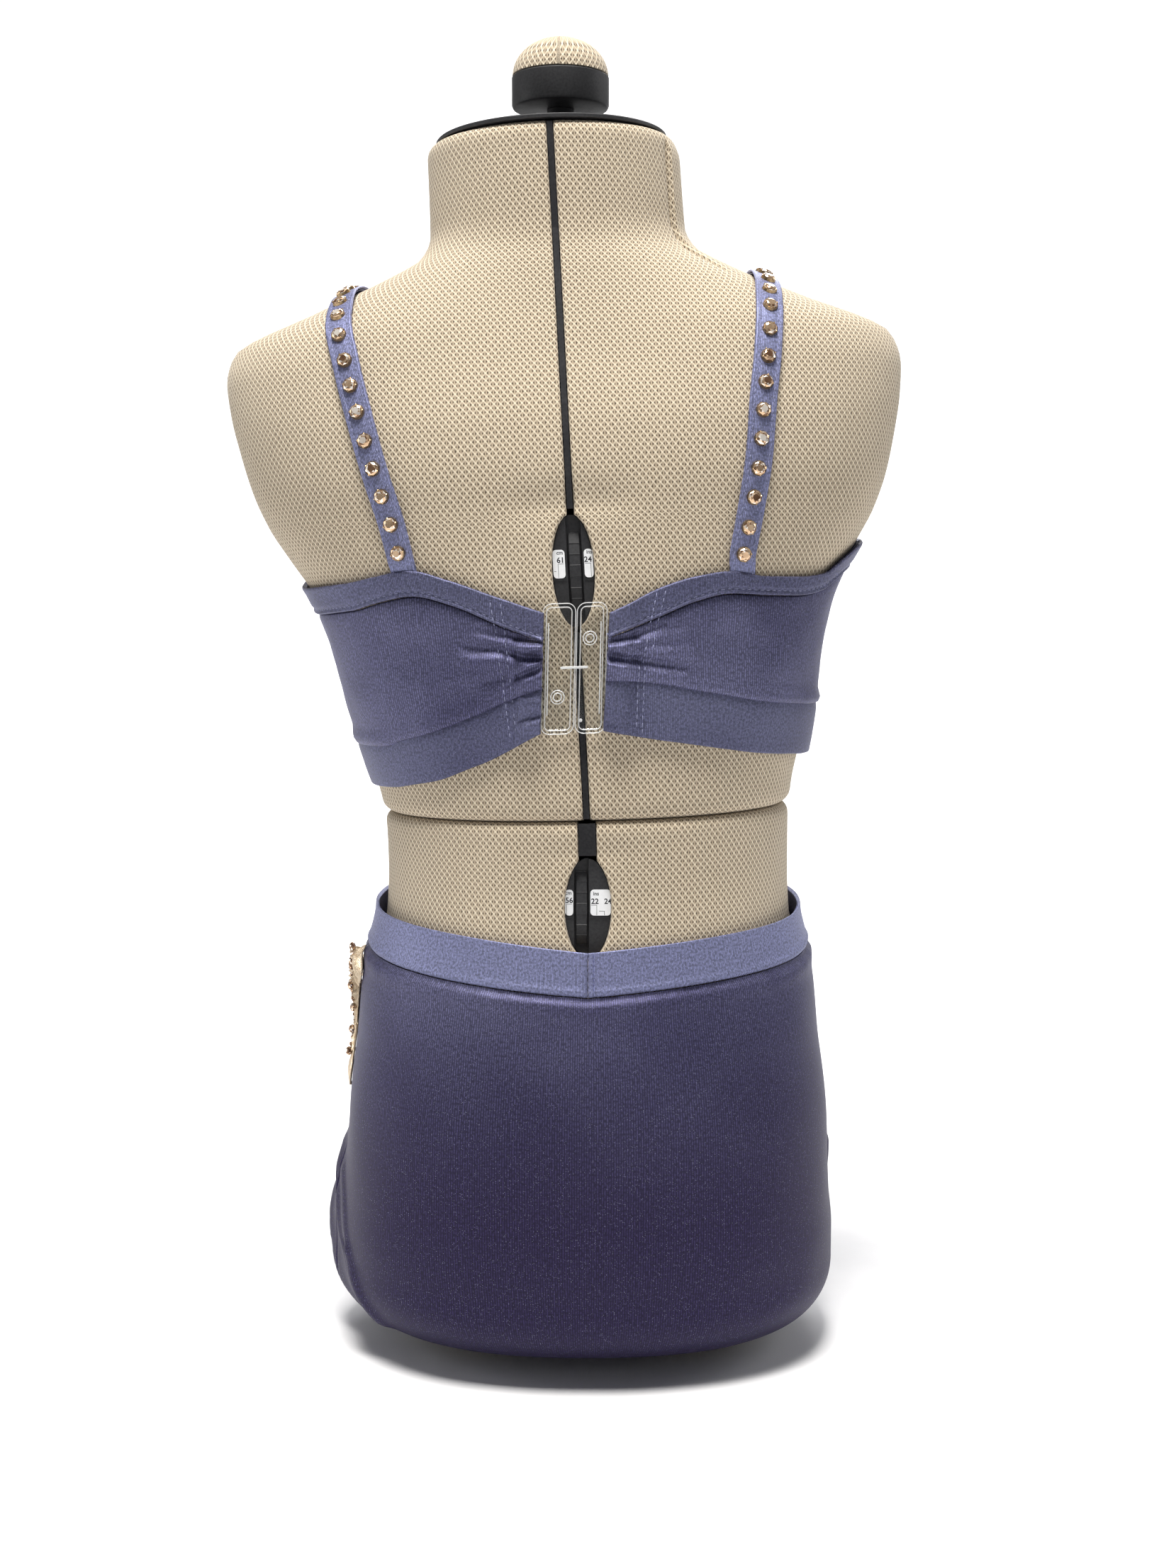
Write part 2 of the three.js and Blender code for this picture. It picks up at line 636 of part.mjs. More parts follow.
// The wing ends stand off the form, over the flanges of the clasp.
function claspLift(turn) {
  const away = Math.min(Math.abs(turn - claspRightTurn), Math.abs(turn - claspLeftTurn)) * degreeLength;
  return claspCover * (1 - THREE.MathUtils.smoothstep(away, claspCoverReach, claspCoverReach + claspCoverFade));
}

// Turn that a wing end gains or loses where the upright clasp crosses the leaning form.
function wingShift(turn, reach) {
  const right = Math.abs(turn - claspRightTurn) < Math.abs(turn - claspLeftTurn);
  const { slope, height, run } = right ? wingTilt.right : wingTilt.left;
  const away = Math.min(Math.abs(turn - claspRightTurn), Math.abs(turn - claspLeftTurn)) * degreeLength;
  const fade = 1 - THREE.MathUtils.smoothstep(away, wingTiltReach, wingTiltReach + wingTiltFade);
  return (fade * ((reach - height) * slope + run)) / wingDegreeLength;
}

// The lower right corner of the underband springs a little off the form.
function bandFlare(turn, reach) {
  const aside = Math.exp(-(((turn - 84) / 14) ** 2));
  return 2.3 * aside * (1 - THREE.MathUtils.smoothstep(reach, 254, 300));
}

function topLift(turn, reach) {
  return claspLift(turn) + bandFlare(turn, reach) + foldLift(topFolds, turn, reach);
}

function topStrip(name, turns, rowShares, lowColumn, highColumn, thickness) {
  const geometry = wallSolid(turns.length, rowShares.length, (column, row, side) => {
    const turn = turns[column];
    const low = readRow(topRows, "turn", lowColumn, turn) + (lowColumn === "bottom" ? 0 : seamGap / 2);
    const high = readRow(topRows, "turn", highColumn, turn) - (highColumn === "top" ? 0 : seamGap / 2);
    const reach = THREE.MathUtils.lerp(low, high, rowShares[row]);
    const lift = clothClearance + topLift(turn, reach) + side * thickness;
    return clothPoint(turn + wingShift(turn, reach), reach, lift);
  });
  addPiece(name, geometry, "satin");
}

function buildTop() {
  const steps = [0, 1.8, 3.6, 5.8, 8.5, 11.5, 15, 20, 26, 33, 39, 45, 51, 57, 63, 69];
  const seam = seamGap / (2 * degreeLength);
  const backRight = [...steps.map((step) => claspRightTurn + step), rightSeamTurn - 6, rightSeamTurn - seam];
  const backLeft = [...steps.map((step) => claspLeftTurn - step), leftSeamTurn + seam].reverse();
  const front = span(rightSeamTurn + seam, leftSeamTurn - seam, 30);
  const columns = { back_right: backRight, back_left: backLeft, front };
  const wings = span(0, 1, 6);
  for (const [place, turns] of Object.entries(columns)) {
    const panelRows = place === "front" ? span(0, 1, 3) : wings;
    topStrip(`top_${place}`, turns, panelRows, "seam", "binding", panelThickness);
    topStrip(`underband_${place}`, turns, place === "front" ? [0, 1] : [0, 0.5, 1], "bottom", "seam", bandThickness);
    topStrip(`binding_${place}`, turns, [0, 1], "binding", "top", bindingThickness);
  }
}

function buildWaistband() {
  const seam = seamGap / (2 * degreeLength);
  const turns = span(seam, 360 - seam, 48);
  const geometry = wallSolid(turns.length, 2, (column, row, side) => {
    const turn = turns[column];
    const low = readRow(waistRows, "turn", "bottom", turn) + seamGap / 2;
    const high = readRow(waistRows, "turn", "top", turn);
    const reach = row ? high : low;
    const stand = readRow(waistRows, "turn", "stand", turn);
    return clothPoint(turn, reach, clothClearance + stand + side * waistbandThickness);
  });
  addPiece("waistband", geometry, "satin");
}

function legEdge(turn) {
  return readRow(legRows, "turn", "reach", turn > 332 ? turn - 360 : turn);
}

// Off-form lift of the brief: the side swell, the drag folds and the roll under the waistband.
function briefLift(turn, reach) {
  const around = turn > 360 ? turn - 360 : turn;
  const swell = Math.exp(-(((around - swellTurn) / swellSpread) ** 2));
  const stand = readRow(waistRows, "turn", "stand", around);
  const bandEdge = readRow(waistRows, "turn", "bottom", around);
  const below = bandEdge - reach;
  const roll = 0.9 * Math.exp(-(((below - 4) / 3.5) ** 2));
  const fade = 1 - THREE.MathUtils.smoothstep(below, 0, 45);
  return swell * readRow(swellRows, "reach", "lift", reach) + foldLift(briefFolds, around, reach)
    + stand * fade + roll;
}

function briefPanel(name, turns) {
  const drops = [158, 153, 146, 126, 102, 78, 54, 32, 20, 10, 0, -9, -18, -30.3];
  const shares = drops.map((drop) => (drops[0] - drop) / (drops[0] - drops[drops.length - 1]));
  const geometry = wallSolid(turns.length, shares.length, (column, row, side) => {
    const turn = turns[column];
    const around = turn > 360 ? turn - 360 : turn;
    const high = readRow(waistRows, "turn", "bottom", around) - seamGap / 2;
    const reach = THREE.MathUtils.lerp(high, legEdge(turn), shares[row]);
    return clothPoint(turn, reach, clothClearance + briefLift(turn, reach) + side * briefThickness);
  });
  addPiece(name, geometry, "satin");
}

function buildBrief() {
  const seam = seamGap / (2 * degreeLength);
  const back = [leftSeamTurn + seam, 281, 286, 292, 298, 304, 310, 316, 322, 332, 341, 350.5, 360, 369.5, 379, 388, 398,
    404, 410, 416, 422, 428, 434, 442, 360 + rightSeamTurn - seam];
  const front = [rightSeamTurn + seam, 96, 102, 109, 116, 122, 128, 134, 140, 146, 152, 161, 170.5, 180, 189.5, 199, 208,
    214, 220, 226, 232, 238, 244, 250, 255, 260, 265, 270, leftSeamTurn - seam];
  briefPanel("brief_back", back);
  briefPanel("brief_front", front);
  const halves = span(-28, 28, 6);
  const gusset = wallSolid(halves.length, 5, (column, row, side) => {
    const turn = halves[column];
    const offset = clothClearance + side * briefThickness;
    const rear = clothPoint(turn, legEdge(turn) - seamGap, offset);
    const fore = clothPoint(180 - turn * 0.999, legEdge(180 - turn * 0.999) - seamGap, offset);
    return rear.lerp(fore, row / 4);
  });
  addPiece("brief_gusset", gusset, "satin");
}

// Straps
function insideForm(x, y, height) {
  if (height > formHeight) return false;
  const size = formSize(height);
  const depth = y < 0 ? size.back : size.front;
  return (Math.abs(x) / size.halfWidth) ** size.power + (Math.abs(y) / depth) ** size.power < 1;
}

function strapPoint(side, angle) {
  const x = (side === "left" ? -1 : 1) * readRow(strapRows, "angle", side, angle);
  const turn = THREE.MathUtils.degToRad(angle);
  const direction = [-Math.cos(turn), Math.sin(turn)];
  let near = 0;
  let far = 160;
  while (far - near > 1e-3) {
    const middle = (near + far) / 2;
    if (insideForm(x, direction[0] * middle, strapPivotHeight + direction[1] * middle)) near = middle;
    else far = middle;
  }
  return new THREE.Vector3(x, direction[0] * near, strapPivotHeight + direction[1] * near);
}

function formGradient(point) {
  const step = 0.4;
  const value = (p) => {
    const size = formSize(p.z);
    const depth = p.y < 0 ? size.back : size.front;
    return (Math.abs(p.x) / size.halfWidth) ** size.power + (Math.abs(p.y) / depth) ** size.power;
  };
  const slope = [0, 1, 2].map((axis) => {
    const ahead = point.clone().setComponent(axis, point.getComponent(axis) + step);
    const behind = point.clone().setComponent(axis, point.getComponent(axis) - step);
    return value(ahead) - value(behind);
  });
  return new THREE.Vector3(...slope).normalize();
}

function strapFrame(side, angle) {
  const point = strapPoint(side, angle);
  const along = strapPoint(side, angle + 1).sub(strapPoint(side, angle - 1)).normalize();
  const normal = formGradient(point);
  normal.addScaledVector(along, -normal.dot(along)).normalize();
  return { point, normal, along, across: new THREE.Vector3().crossVectors(along, normal) };
}

function strapStones(side, path) {
  const stones = [];
  let travelled = 0;
  let target = firstStone;
  for (let index = 1; index < path.length; index += 1) {
    travelled += path[index].point.distanceTo(path[index - 1].point);
    if (travelled < target || index > path.length - 12) continue;
    target += stonePitch;
    const { point, normal } = path[index];
    const stone = new THREE.CylinderGeometry(stoneTopRadius, stoneRadius, stoneHeight, stoneSides);
    stone.applyQuaternion(new THREE.Quaternion().setFromUnitVectors(new THREE.Vector3(0, 1, 0), normal));
    const rise = clothClearance + strapThickness + stoneHeight / 2 - stoneSink;
    stone.translate(...point.clone().addScaledVector(normal, rise).toArray());
    stones.push(stone);
  }
  return stones;
}

// Angle at which a strap meets the top edge of the binding, just clear of it.
function strapEnd(side, front) {
  let angle = front ? 170 : 0;
  const step = front ? 0.25 : -0.25;
  const edge = (point) => {
    const turn = (THREE.MathUtils.radToDeg(Math.atan2(point.y, point.x)) + 450) % 360;
    return readRow(topRows, "turn", "top", turn);
  };
  while (Math.abs(angle) < 205) {
    const point = strapPoint(side, angle);
    if (point.z < edge(point) + 4 * seamGap) break;
    angle += step;
  }
  return angle;
}

function buildStrap(side) {
  const start = strapEnd(side, false);
  const end = strapEnd(side, true);
  const frames = span(start, end, strapRowCount).map((angle) => strapFrame(side, angle));
  const strap = wallSolid(2, frames.length, (column, row, layer) => {
    const { point, normal, across } = frames[row];
    const place = point.clone().addScaledVector(across, (column - 0.5) * strapWidth);
    return place.addScaledVector(normal, clothClearance + layer * strapThickness);
  });
  const path = span(start, end, 400).map((angle) => strapFrame(side, angle));
  addPiece(`strap_${side}`, fuse([strap, ...strapStones(side, path)]), "satin");
}

// Clear two-part clasp at the centre back
function roundedPlate(xLow, xHigh, low, high, radius) {
  const shape = new THREE.Shape();
  shape.moveTo(xLow + radius, low);
  shape.lineTo(xHigh - radius, low);
  shape.absarc(xHigh - radius, low + radius, radius, -Math.PI / 2, 0);
  shape.lineTo(xHigh, high - radius);
  shape.absarc(xHigh - radius, high - radius, radius, 0, Math.PI / 2);
  shape.lineTo(xLow + radius, high);
  shape.absarc(xLow + radius, high - radius, radius, Math.PI / 2, Math.PI);
  shape.lineTo(xLow, low + radius);
  shape.absarc(xLow + radius, low + radius, radius, Math.PI, Math.PI * 1.5);
  return shape;
}

// Stands a flat outline up against the form's back, "rise" millimetres off it.
function standPlate(shape, thickness, rise) {
  const plate = new THREE.ExtrudeGeometry(shape, { depth: thickness, bevelEnabled: false, curveSegments: 3 });
  const position = plate.attributes.position;
  for (let index = 0; index < position.count; index += 1) {
    const [x, height, out] = [position.getX(index), position.getY(index), position.getZ(index)];
    const upright = x - (claspTiltHeight - height) * claspTilt;
    position.setXYZ(index, upright, -(backDepth(0, height) + rise + out), height);
  }
  return plate;
}

function buildClasp(side) {
  const sign = side === "left" ? -1 : 1;
  const gap = seamGap / 2;
  const inner = claspSplit + sign * gap;
  const outer = sign * claspPlateHalf;
  const flange = sign * claspFlangeHalf;
  const [low, high] = sign < 0 ? [outer, inner] : [inner, outer];
  const [flangeLow, flangeHigh] = sign < 0 ? [flange, inner - 3] : [inner + 3, flange];
  const boss = new THREE.Shape();
  const bossAt = side === "left" ? [-6.6, 285] : [6.5, 308.5];
  boss.absarc(bossAt[0], bossAt[1], claspBossRadius, 0, Math.PI * 2);
  const pieces = [
    standPlate(roundedPlate(low, high, claspBottom, claspTop, claspCornerRadius), claspThickness, claspClearance),
    standPlate(roundedPlate(flangeLow, flangeHigh, claspBottom + claspFlangeInset, claspTop - 2 * claspFlangeInset, 1.5),
      claspFlangeThickness, claspClearance),
    standPlate(boss, claspBossHeight + 0.5, claspClearance + claspThickness - 0.5),
  ];
  const manifolds = pieces.map((piece) => toManifold(piece));
  const whole = manifolds.reduce((sum, next) => sum.add(next));
  addPiece(`clasp_${side}`, fromManifold(whole), "clear");
}

// Leaf spray, laid on the brief's outer face
function sprayPoint(run, height, rise) {
  const turn = leftSeamTurn - run / sprayDegreeLength;
  const base = clothClearance + briefLift(turn, height) + briefThickness + spraySeat;
  return clothPoint(turn, height, base + rise);
}

function sprayLeaf(run, height, angle) {
  const ahead = [Math.cos(angle), Math.sin(angle)];
  return wallSolid(4, 3, (column, row, side) => {
    const share = column / 3;
    const half = 0.5 * sprayLeafWidth * Math.sin(Math.PI * (0.06 + 0.88 * share)) ** 0.8;
    const aside = (row - 1) * half;
    const along = share * sprayLeafLength - sprayLeafRoot;
    const crown = row === 1 ? sprayLeafCrown * Math.sin(Math.PI * share) : 0;
    return sprayPoint(run + ahead[0] * along - ahead[1] * aside, height + ahead[1] * along + ahead[0] * aside,
      side * (sprayLeafThickness + crown));
  });
}

function buildSpray() {
  const pieces = [];
  for (const stem of sprayStems) {
    const curve = new THREE.CatmullRomCurve3(stem.map(([run, height]) => new THREE.Vector3(run, height, 0)));
    const length = curve.getLength();
    const marks = span(0, 1, 5).map((share) => ({ spot: curve.getPointAt(share), way: curve.getTangentAt(share) }));
    pieces.push(wallSolid(2, marks.length, (column, row, side) => {
      const { spot, way } = marks[row];
      const aside = (column - 0.5) * sprayStemWidth;
      return sprayPoint(spot.x - way.y * aside, spot.y + way.x * aside, side * (sprayLeafThickness + 0.7));
    }));
    const count = Math.floor(length / sprayLeafPitch);
    for (let index = 0; index <= count; index += 1) {
      const share = index / count;
      const spot = curve.getPointAt(share);
      const way = curve.getTangentAt(share);
      const lean = THREE.MathUtils.degToRad(sprayLeafSpread) * (index % 2 ? 1 : -1);
      pieces.push(sprayLeaf(spot.x, spot.y, Math.atan2(way.y, way.x) + (index === count ? 0 : lean)));
    }
    const bead = new THREE.CylinderGeometry(sprayBeadRadius * 0.6, sprayBeadRadius, sprayBeadHeight, 7);
    const middle = curve.getPointAt(0.5);
    const seat = sprayPoint(middle.x, middle.y, sprayBeadHeight / 2 + 0.1);
    const normal = sprayPoint(middle.x, middle.y, 5).sub(seat).normalize();
    bead.applyQuaternion(new THREE.Quaternion().setFromUnitVectors(new THREE.Vector3(0, 1, 0), normal));
    bead.translate(seat.x, seat.y, seat.z);
    pieces.push(bead);
  }
  addPiece("hip_applique", fuse(pieces), "gold");
}

buildFoot();
buildFormLower();
buildFormUpper();
buildSpine("spine_upper", spineWidth, bustDial.height + bustDial.halfHeight + 2, formHeight - 1);
buildSpine("spine_middle", spineWidth, splitHeight + 1, bustDial.height - bustDial.halfHeight - 2);
buildSpine("spine_lower", lowerSpineWidth, waistDial.height + waistDial.halfHeight + 1, splitHeight - 1);
buildDial("dial_bust", bustDial);
buildDial("dial_waist", waistDial);
buildKnob();
buildTop();
buildStrap("left");
buildStrap("right");
buildClasp("left");
buildClasp("right");
buildWaistband();
buildBrief();
buildSpray();

export default costume;
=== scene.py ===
"""Crop top and hip brief of a dance costume, dressed on a limbless form with two adjusting dials.

Sizes are in millimetres until they are placed, and turns in degrees. A turn is counted from the centre back,
by the wearer's right side (90) and the centre front (180) to the left side (270). Heights are above the
underside of the form; below its corner radius a "reach" goes on round the corner and under the form.
"""

import logging
import math
import random
from dataclasses import dataclass, fields
from enum import Enum
from functools import cached_property
from typing import Any, Callable, Sequence

import bmesh
import bpy
import numpy as np
from mathutils import Matrix, Vector


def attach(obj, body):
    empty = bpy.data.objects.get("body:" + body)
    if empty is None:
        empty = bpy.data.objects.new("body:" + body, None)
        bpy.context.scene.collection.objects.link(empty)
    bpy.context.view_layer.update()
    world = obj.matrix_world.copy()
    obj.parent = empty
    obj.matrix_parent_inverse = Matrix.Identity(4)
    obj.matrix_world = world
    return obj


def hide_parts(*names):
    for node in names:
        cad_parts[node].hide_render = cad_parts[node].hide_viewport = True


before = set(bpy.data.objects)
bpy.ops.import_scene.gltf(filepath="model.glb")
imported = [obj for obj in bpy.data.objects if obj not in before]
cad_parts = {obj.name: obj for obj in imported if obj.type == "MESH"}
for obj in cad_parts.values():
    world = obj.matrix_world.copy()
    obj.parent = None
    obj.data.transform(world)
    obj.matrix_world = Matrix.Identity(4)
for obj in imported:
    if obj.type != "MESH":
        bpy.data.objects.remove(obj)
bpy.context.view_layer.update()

MM = 0.001
# Millimetres of cloth to a degree of turn, roughly; where the points of a rolled edge lie, as shares of its
# radius; and the scale of a wave texture that has one band to a unit
DEGREE_LENGTH = 1.7
ROLL_STEPS = (0.0, 0.15, 0.4, 0.7)
BAND_SCALE = 0.314
log = logging.getLogger("costume")


class Side(Enum):
    """A side of the wearer, valued by its sign along X."""

    LEFT = -1
    RIGHT = 1

    @property
    def word(self) -> str:
        """Lower-case name, as the pieces use it."""
        return self.name.lower()


# Shape of the form


@dataclass(frozen=True)
class Curve:
    """A smooth line through a table's values, which never overshoots them."""

    places: tuple[float, ...]
    values: tuple[float, ...]

    @classmethod
    def of(cls, rows: Sequence[Any], value: str) -> "Curve":
        """Reads one column of a table.

        Args:
            rows: Rows of the table, as dataclass instances whose first field is the place.
            value: Field that holds each row's value.

        Returns:
            The line through that column.
        """
        place = fields(rows[0])[0].name
        return cls(tuple(getattr(row, place) for row in rows), tuple(getattr(row, value) for row in rows))

    @cached_property
    def slopes(self) -> np.ndarray:
        """Slope at each row, as the harmonic mean of its neighbours' slopes.

        Returns:
            One slope for each row.
        """
        secants = np.diff(self.values) / np.diff(self.places)
        before = secants[:-1]
        after = secants[1:]
        total = np.where(np.abs(before + after) < 1e-12, 1.0, before + after)
        inner = np.where(before * after > 0, 2 * before * after / total, 0.0)
        return np.concatenate([[secants[0]], inner, [secants[-1]]])

    def __call__(self, place: Any) -> np.ndarray:
        """Value at any place, held at both ends.

        Args:
            place: One place or an array of them.

        Returns:
            The value at each place.
        """
        places = np.asarray(self.places)
        values = np.asarray(self.values)
        spot = np.clip(np.asarray(place, float), places[0], places[-1])
        index = np.clip(np.searchsorted(places, spot, side="left") - 1, 0, len(places) - 2)
        width = places[index + 1] - places[index]
        share = (spot - places[index]) / width
        start = values[index]
        end = values[index + 1]
        leave = self.slopes[index] * width
        arrive = self.slopes[index + 1] * width
        bend = 3 * (end - start) - 2 * leave - arrive
        twist = 2 * (start - end) + leave + arrive
        return start + leave * share + bend * share**2 + twist * share**3


def smoothstep(value: Any, low: float, high: float) -> np.ndarray:
    """Soft step from 0 at low to 1 at high."""
    share = np.clip((np.asarray(value, float) - low) / (high - low), 0, 1)
    return share * share * (3 - 2 * share)


def bell(value: Any, middle: Any, spread: float) -> np.ndarray:
    """Soft hump of height 1 about a middle."""
    return np.exp(-(((value - middle) / spread) ** 2))


def rounding(near: np.ndarray, radius: float) -> np.ndarray:
    """Drop of a rounded edge at each distance from it."""
    short = np.clip(radius - near, 0, radius)
    return radius - np.sqrt(radius**2 - short**2)


def alike(*values: Any) -> list[np.ndarray]:
    """Numbers and arrays as float arrays of one shape."""
    return np.broadcast_arrays(*(np.asarray(value, float) for value in values))


@dataclass(frozen=True)
class Ring:
    """One level of the form: its half width, its depths to the back and front, and its squareness."""

    height: float
    half_width: float
    back: float
    front: float
    power: float


FORM_RINGS = (
    Ring(0, 110, 91, 87, 2.3),
    Ring(25, 110, 91, 87, 2.3),
    Ring(40, 110, 93, 90, 2.3),
    Ring(57, 108.5, 94, 92, 2.3),
    Ring(94, 107, 94, 94, 2.25),
    Ring(131, 102.5, 90, 94, 2.2),
    Ring(150, 99.5, 86, 92, 2.2),
    Ring(168, 95.5, 82.5, 90.5, 2.15),
    Ring(186, 91.5, 81, 90, 2.15),
    Ring(204, 90.8, 80, 89, 2.15),
    Ring(224, 91.1, 80, 87, 2.15),
    Ring(240, 93, 80.5, 85, 2.2),
    Ring(255, 97, 81, 83, 2.2),
    Ring(276, 102.4, 82, 80, 2.25),
    Ring(312, 110.2, 83, 76, 2.3),
    Ring(331, 117.4, 83.5, 74, 2.3),
    Ring(345, 126, 83, 72, 2.35),
    Ring(360, 135, 82.5, 70, 2.35),
    Ring(375, 141, 82, 67, 2.4),
    Ring(396, 146.3, 79, 63, 2.4),
    Ring(410, 148.9, 75, 57, 2.4),
    Ring(424, 150, 70, 52, 2.4),
    Ring(436, 146.6, 66, 48, 2.3),
    Ring(454, 108.7, 60, 46, 2.1),
    Ring(467, 78, 56, 47, 2),
    Ring(476, 61, 53, 49, 2),
    Ring(486, 56, 52, 50, 2),
    Ring(525, 55, 51, 51, 2),
)


@dataclass(frozen=True)
class FormShape:
    """The form's skin: rounded rings from the hips to the neck, leaning to one side above the waist."""

    foot: float = 12.0
    top: float = 525.0
    split: float = 232.0
    corner: float = 25.0
    lean_start: float = 200.0
    lean_span: float = 50.0
    lean_run: float = 0.054
    lean_rise: float = 0.036
    half_width: Curve = Curve.of(FORM_RINGS, "half_width")
    back: Curve = Curve.of(FORM_RINGS, "back")
    front: Curve = Curve.of(FORM_RINGS, "front")
    power: Curve = Curve.of(FORM_RINGS, "power")

    def point(self, turn: Any, reach: Any, shrink: Any = 0.0) -> np.ndarray:
        """Points of the skin, before the lean.

        Args:
            turn: Turns about the form.
            reach: Heights, or reaches round the lower corner.
            shrink: How far each ring is drawn in.

        Returns:
            An array of points whose last axis is x, y, z.
        """
        turn, reach, shrink = alike(turn, reach, shrink)
        turned = np.maximum((self.corner - reach) / self.corner, 0)
        bend = np.minimum(turned, math.pi / 2)
        height = np.where(reach >= self.corner, reach, self.corner * (1 - np.sin(bend)))
        inset = self.corner * (1 - np.cos(bend)) + self.corner * np.maximum(turned - math.pi / 2, 0)
        level = np.maximum(height, self.corner)
        angle = np.radians(turn - 90)
        across = np.cos(angle)
        along = np.sin(angle)
        half = np.maximum(self.half_width(level) - inset - shrink, 0.5)
        depth = np.where(along < 0, self.back(level), self.front(level)) - inset - shrink
        depth = np.maximum(depth, 0.5)
        power = self.power(level)
        total = (np.abs(across) / half) ** power + (np.abs(along) / depth) ** power
        radius = total ** (-1 / power)
        return np.stack([radius * across, radius * along, height], -1)

    def normal(self, turn: Any, reach: Any) -> np.ndarray:
        """Outward normals of the skin, before the lean.

        Args:
            turn: Turns about the form.
            reach: Heights, or reaches round the corner.

        Returns:
            A unit vector for each place.
        """
        turn = np.asarray(turn, float)
        reach = np.asarray(reach, float)
        step = 0.5
        aside = self.point(turn + step, reach) - self.point(turn - step, reach)
        above = self.point(turn, reach + step) - self.point(turn, reach - step)
        normal = np.cross(aside, above)
        return normal / np.maximum(np.linalg.norm(normal, axis=-1, keepdims=True), 1e-9)

    def off(self, turn: Any, reach: Any, lift: Any) -> np.ndarray:
        """Points that stand off the skin by "lift", before the lean."""
        return self.point(turn, reach) + self.normal(turn, reach) * np.asarray(lift, float)[..., None]

    def turn_at(self, x: Any, height: Any) -> np.ndarray:
        """Turn of a spot near the centre back, x millimetres to its right."""
        return np.degrees(np.arctan2(x, self.back(height)))

    def leaned(self, points: np.ndarray) -> np.ndarray:
        """Points after the lean that everything above the waist follows.

        Args:
            points: Points before the lean.

        Returns:
            The points after it.
        """
        x, y, z = (points[..., axis] for axis in range(3))
        share = np.clip((z - self.lean_start) / self.lean_span, 0, 1)
        above = np.maximum(0, z - self.lean_start - self.lean_span)
        run = self.lean_run * (0.5 * self.lean_span * share**2 + above)
        return np.stack([x - run, y, z + self.lean_rise * share * x], -1)

    def placed(self, points: np.ndarray) -> np.ndarray:
        """Points leaned, stood on the foot and turned into metres."""
        return (self.leaned(points) + np.array([0, 0, self.foot])) * MM

    def on_back(self, x: Any, height: Any, out: Any) -> np.ndarray:
        """Placed points that stand off the centre back's own curve.

        Args:
            x: Distances to the right of the centre back.
            height: Heights on the form.
            out: Distances away from the skin at the centre back.

        Returns:
            An array of placed points.
        """
        x, height, out = alike(x, height, out)
        return self.placed(np.stack([x, -(self.back(height) + out), height], -1))


# Making meshes


Mesh = bmesh.types.BMesh
Placing = Callable[[np.ndarray, np.ndarray], np.ndarray]
Line = Callable[[np.ndarray], np.ndarray]
Level = tuple[float, float]
Seam = tuple[np.ndarray, np.ndarray]


def object_from(
    name: str,
    bm: Mesh,
    *finishes: bpy.types.Material,
    smooth: bool = True,
) -> bpy.types.Object:
    """Turns a bmesh into an object of the scene.

    Args:
        name: Name of the piece.
        bm: The shape, which is freed.
        *finishes: Its materials, by index.
        smooth: Whether its faces are shaded smooth.

    Returns:
        The new object, at the origin.
    """
    for face in bm.faces:
        face.smooth = smooth
    mesh = bpy.data.meshes.new(name)
    bm.to_mesh(mesh)
    bm.free()
    for finish in finishes:
        mesh.materials.append(finish)
    made = bpy.data.objects.new(name, mesh)
    bpy.context.scene.collection.objects.link(made)
    return made


def shifted(bm: Mesh, x: float = 0.0, y: float = 0.0, z: float = 0.0) -> Mesh:
    """Moves a shape and gives it back."""
    bmesh.ops.translate(bm, vec=(x, y, z), verts=bm.verts[:])
    return bm


def marked(bm: Mesh, index: int) -> Mesh:
    """Gives every face of a shape one material index, and gives the shape back.

    Args:
        bm: The shape.
        index: The material index.

    Returns:
        The shape.
    """
    for face in bm.faces:
        face.material_index = index
    return bm


def picked(made: dict[str, Any], kind: type) -> list[Any]:
    """The points or edges that an operator made."""
    return [item for item in made["geom"] if isinstance(item, kind)]


def extruded(bm: Mesh, rise: float, faces: Sequence[bmesh.types.BMFace] | None = None) -> Mesh:
    """Extrudes faces along Z.

    Args:
        bm: The shape.
        rise: How far they go.
        faces: The faces; left out, all of them, whose first places stay closed.

    Returns:
        The shape.
    """
    geometry = bm.faces[:] if faces is None else faces
    made = bmesh.ops.extrude_face_region(bm, geom=geometry, use_keep_orig=faces is None)
    bmesh.ops.translate(bm, vec=(0, 0, rise), verts=picked(made, bmesh.types.BMVert))
    bmesh.ops.recalc_face_normals(bm, faces=bm.faces[:])
    return bm


def cut_off(bm: Mesh, place: Sequence[float], way: Sequence[float]) -> None:
    """Cuts a shape by a plane and drops what lies past it."""
    geometry = bm.verts[:] + bm.edges[:] + bm.faces[:]
    bmesh.ops.bisect_plane(bm, geom=geometry, plane_co=place, plane_no=way, clear_outer=True)


def face_outward(bm: Mesh) -> None:
    """Gives an open surface one facing, away from the Z axis.

    Args:
        bm: The shape.
    """
    bmesh.ops.recalc_face_normals(bm, faces=bm.faces[:])
    bm.normal_update()
    facing = 0.0
    for face in bm.faces:
        away = face.calc_center_median() * Vector((1, 1, 0))
        facing += face.normal.dot(away) * face.calc_area()
    if facing < 0:
        bmesh.ops.reverse_faces(bm, faces=bm.faces[:])


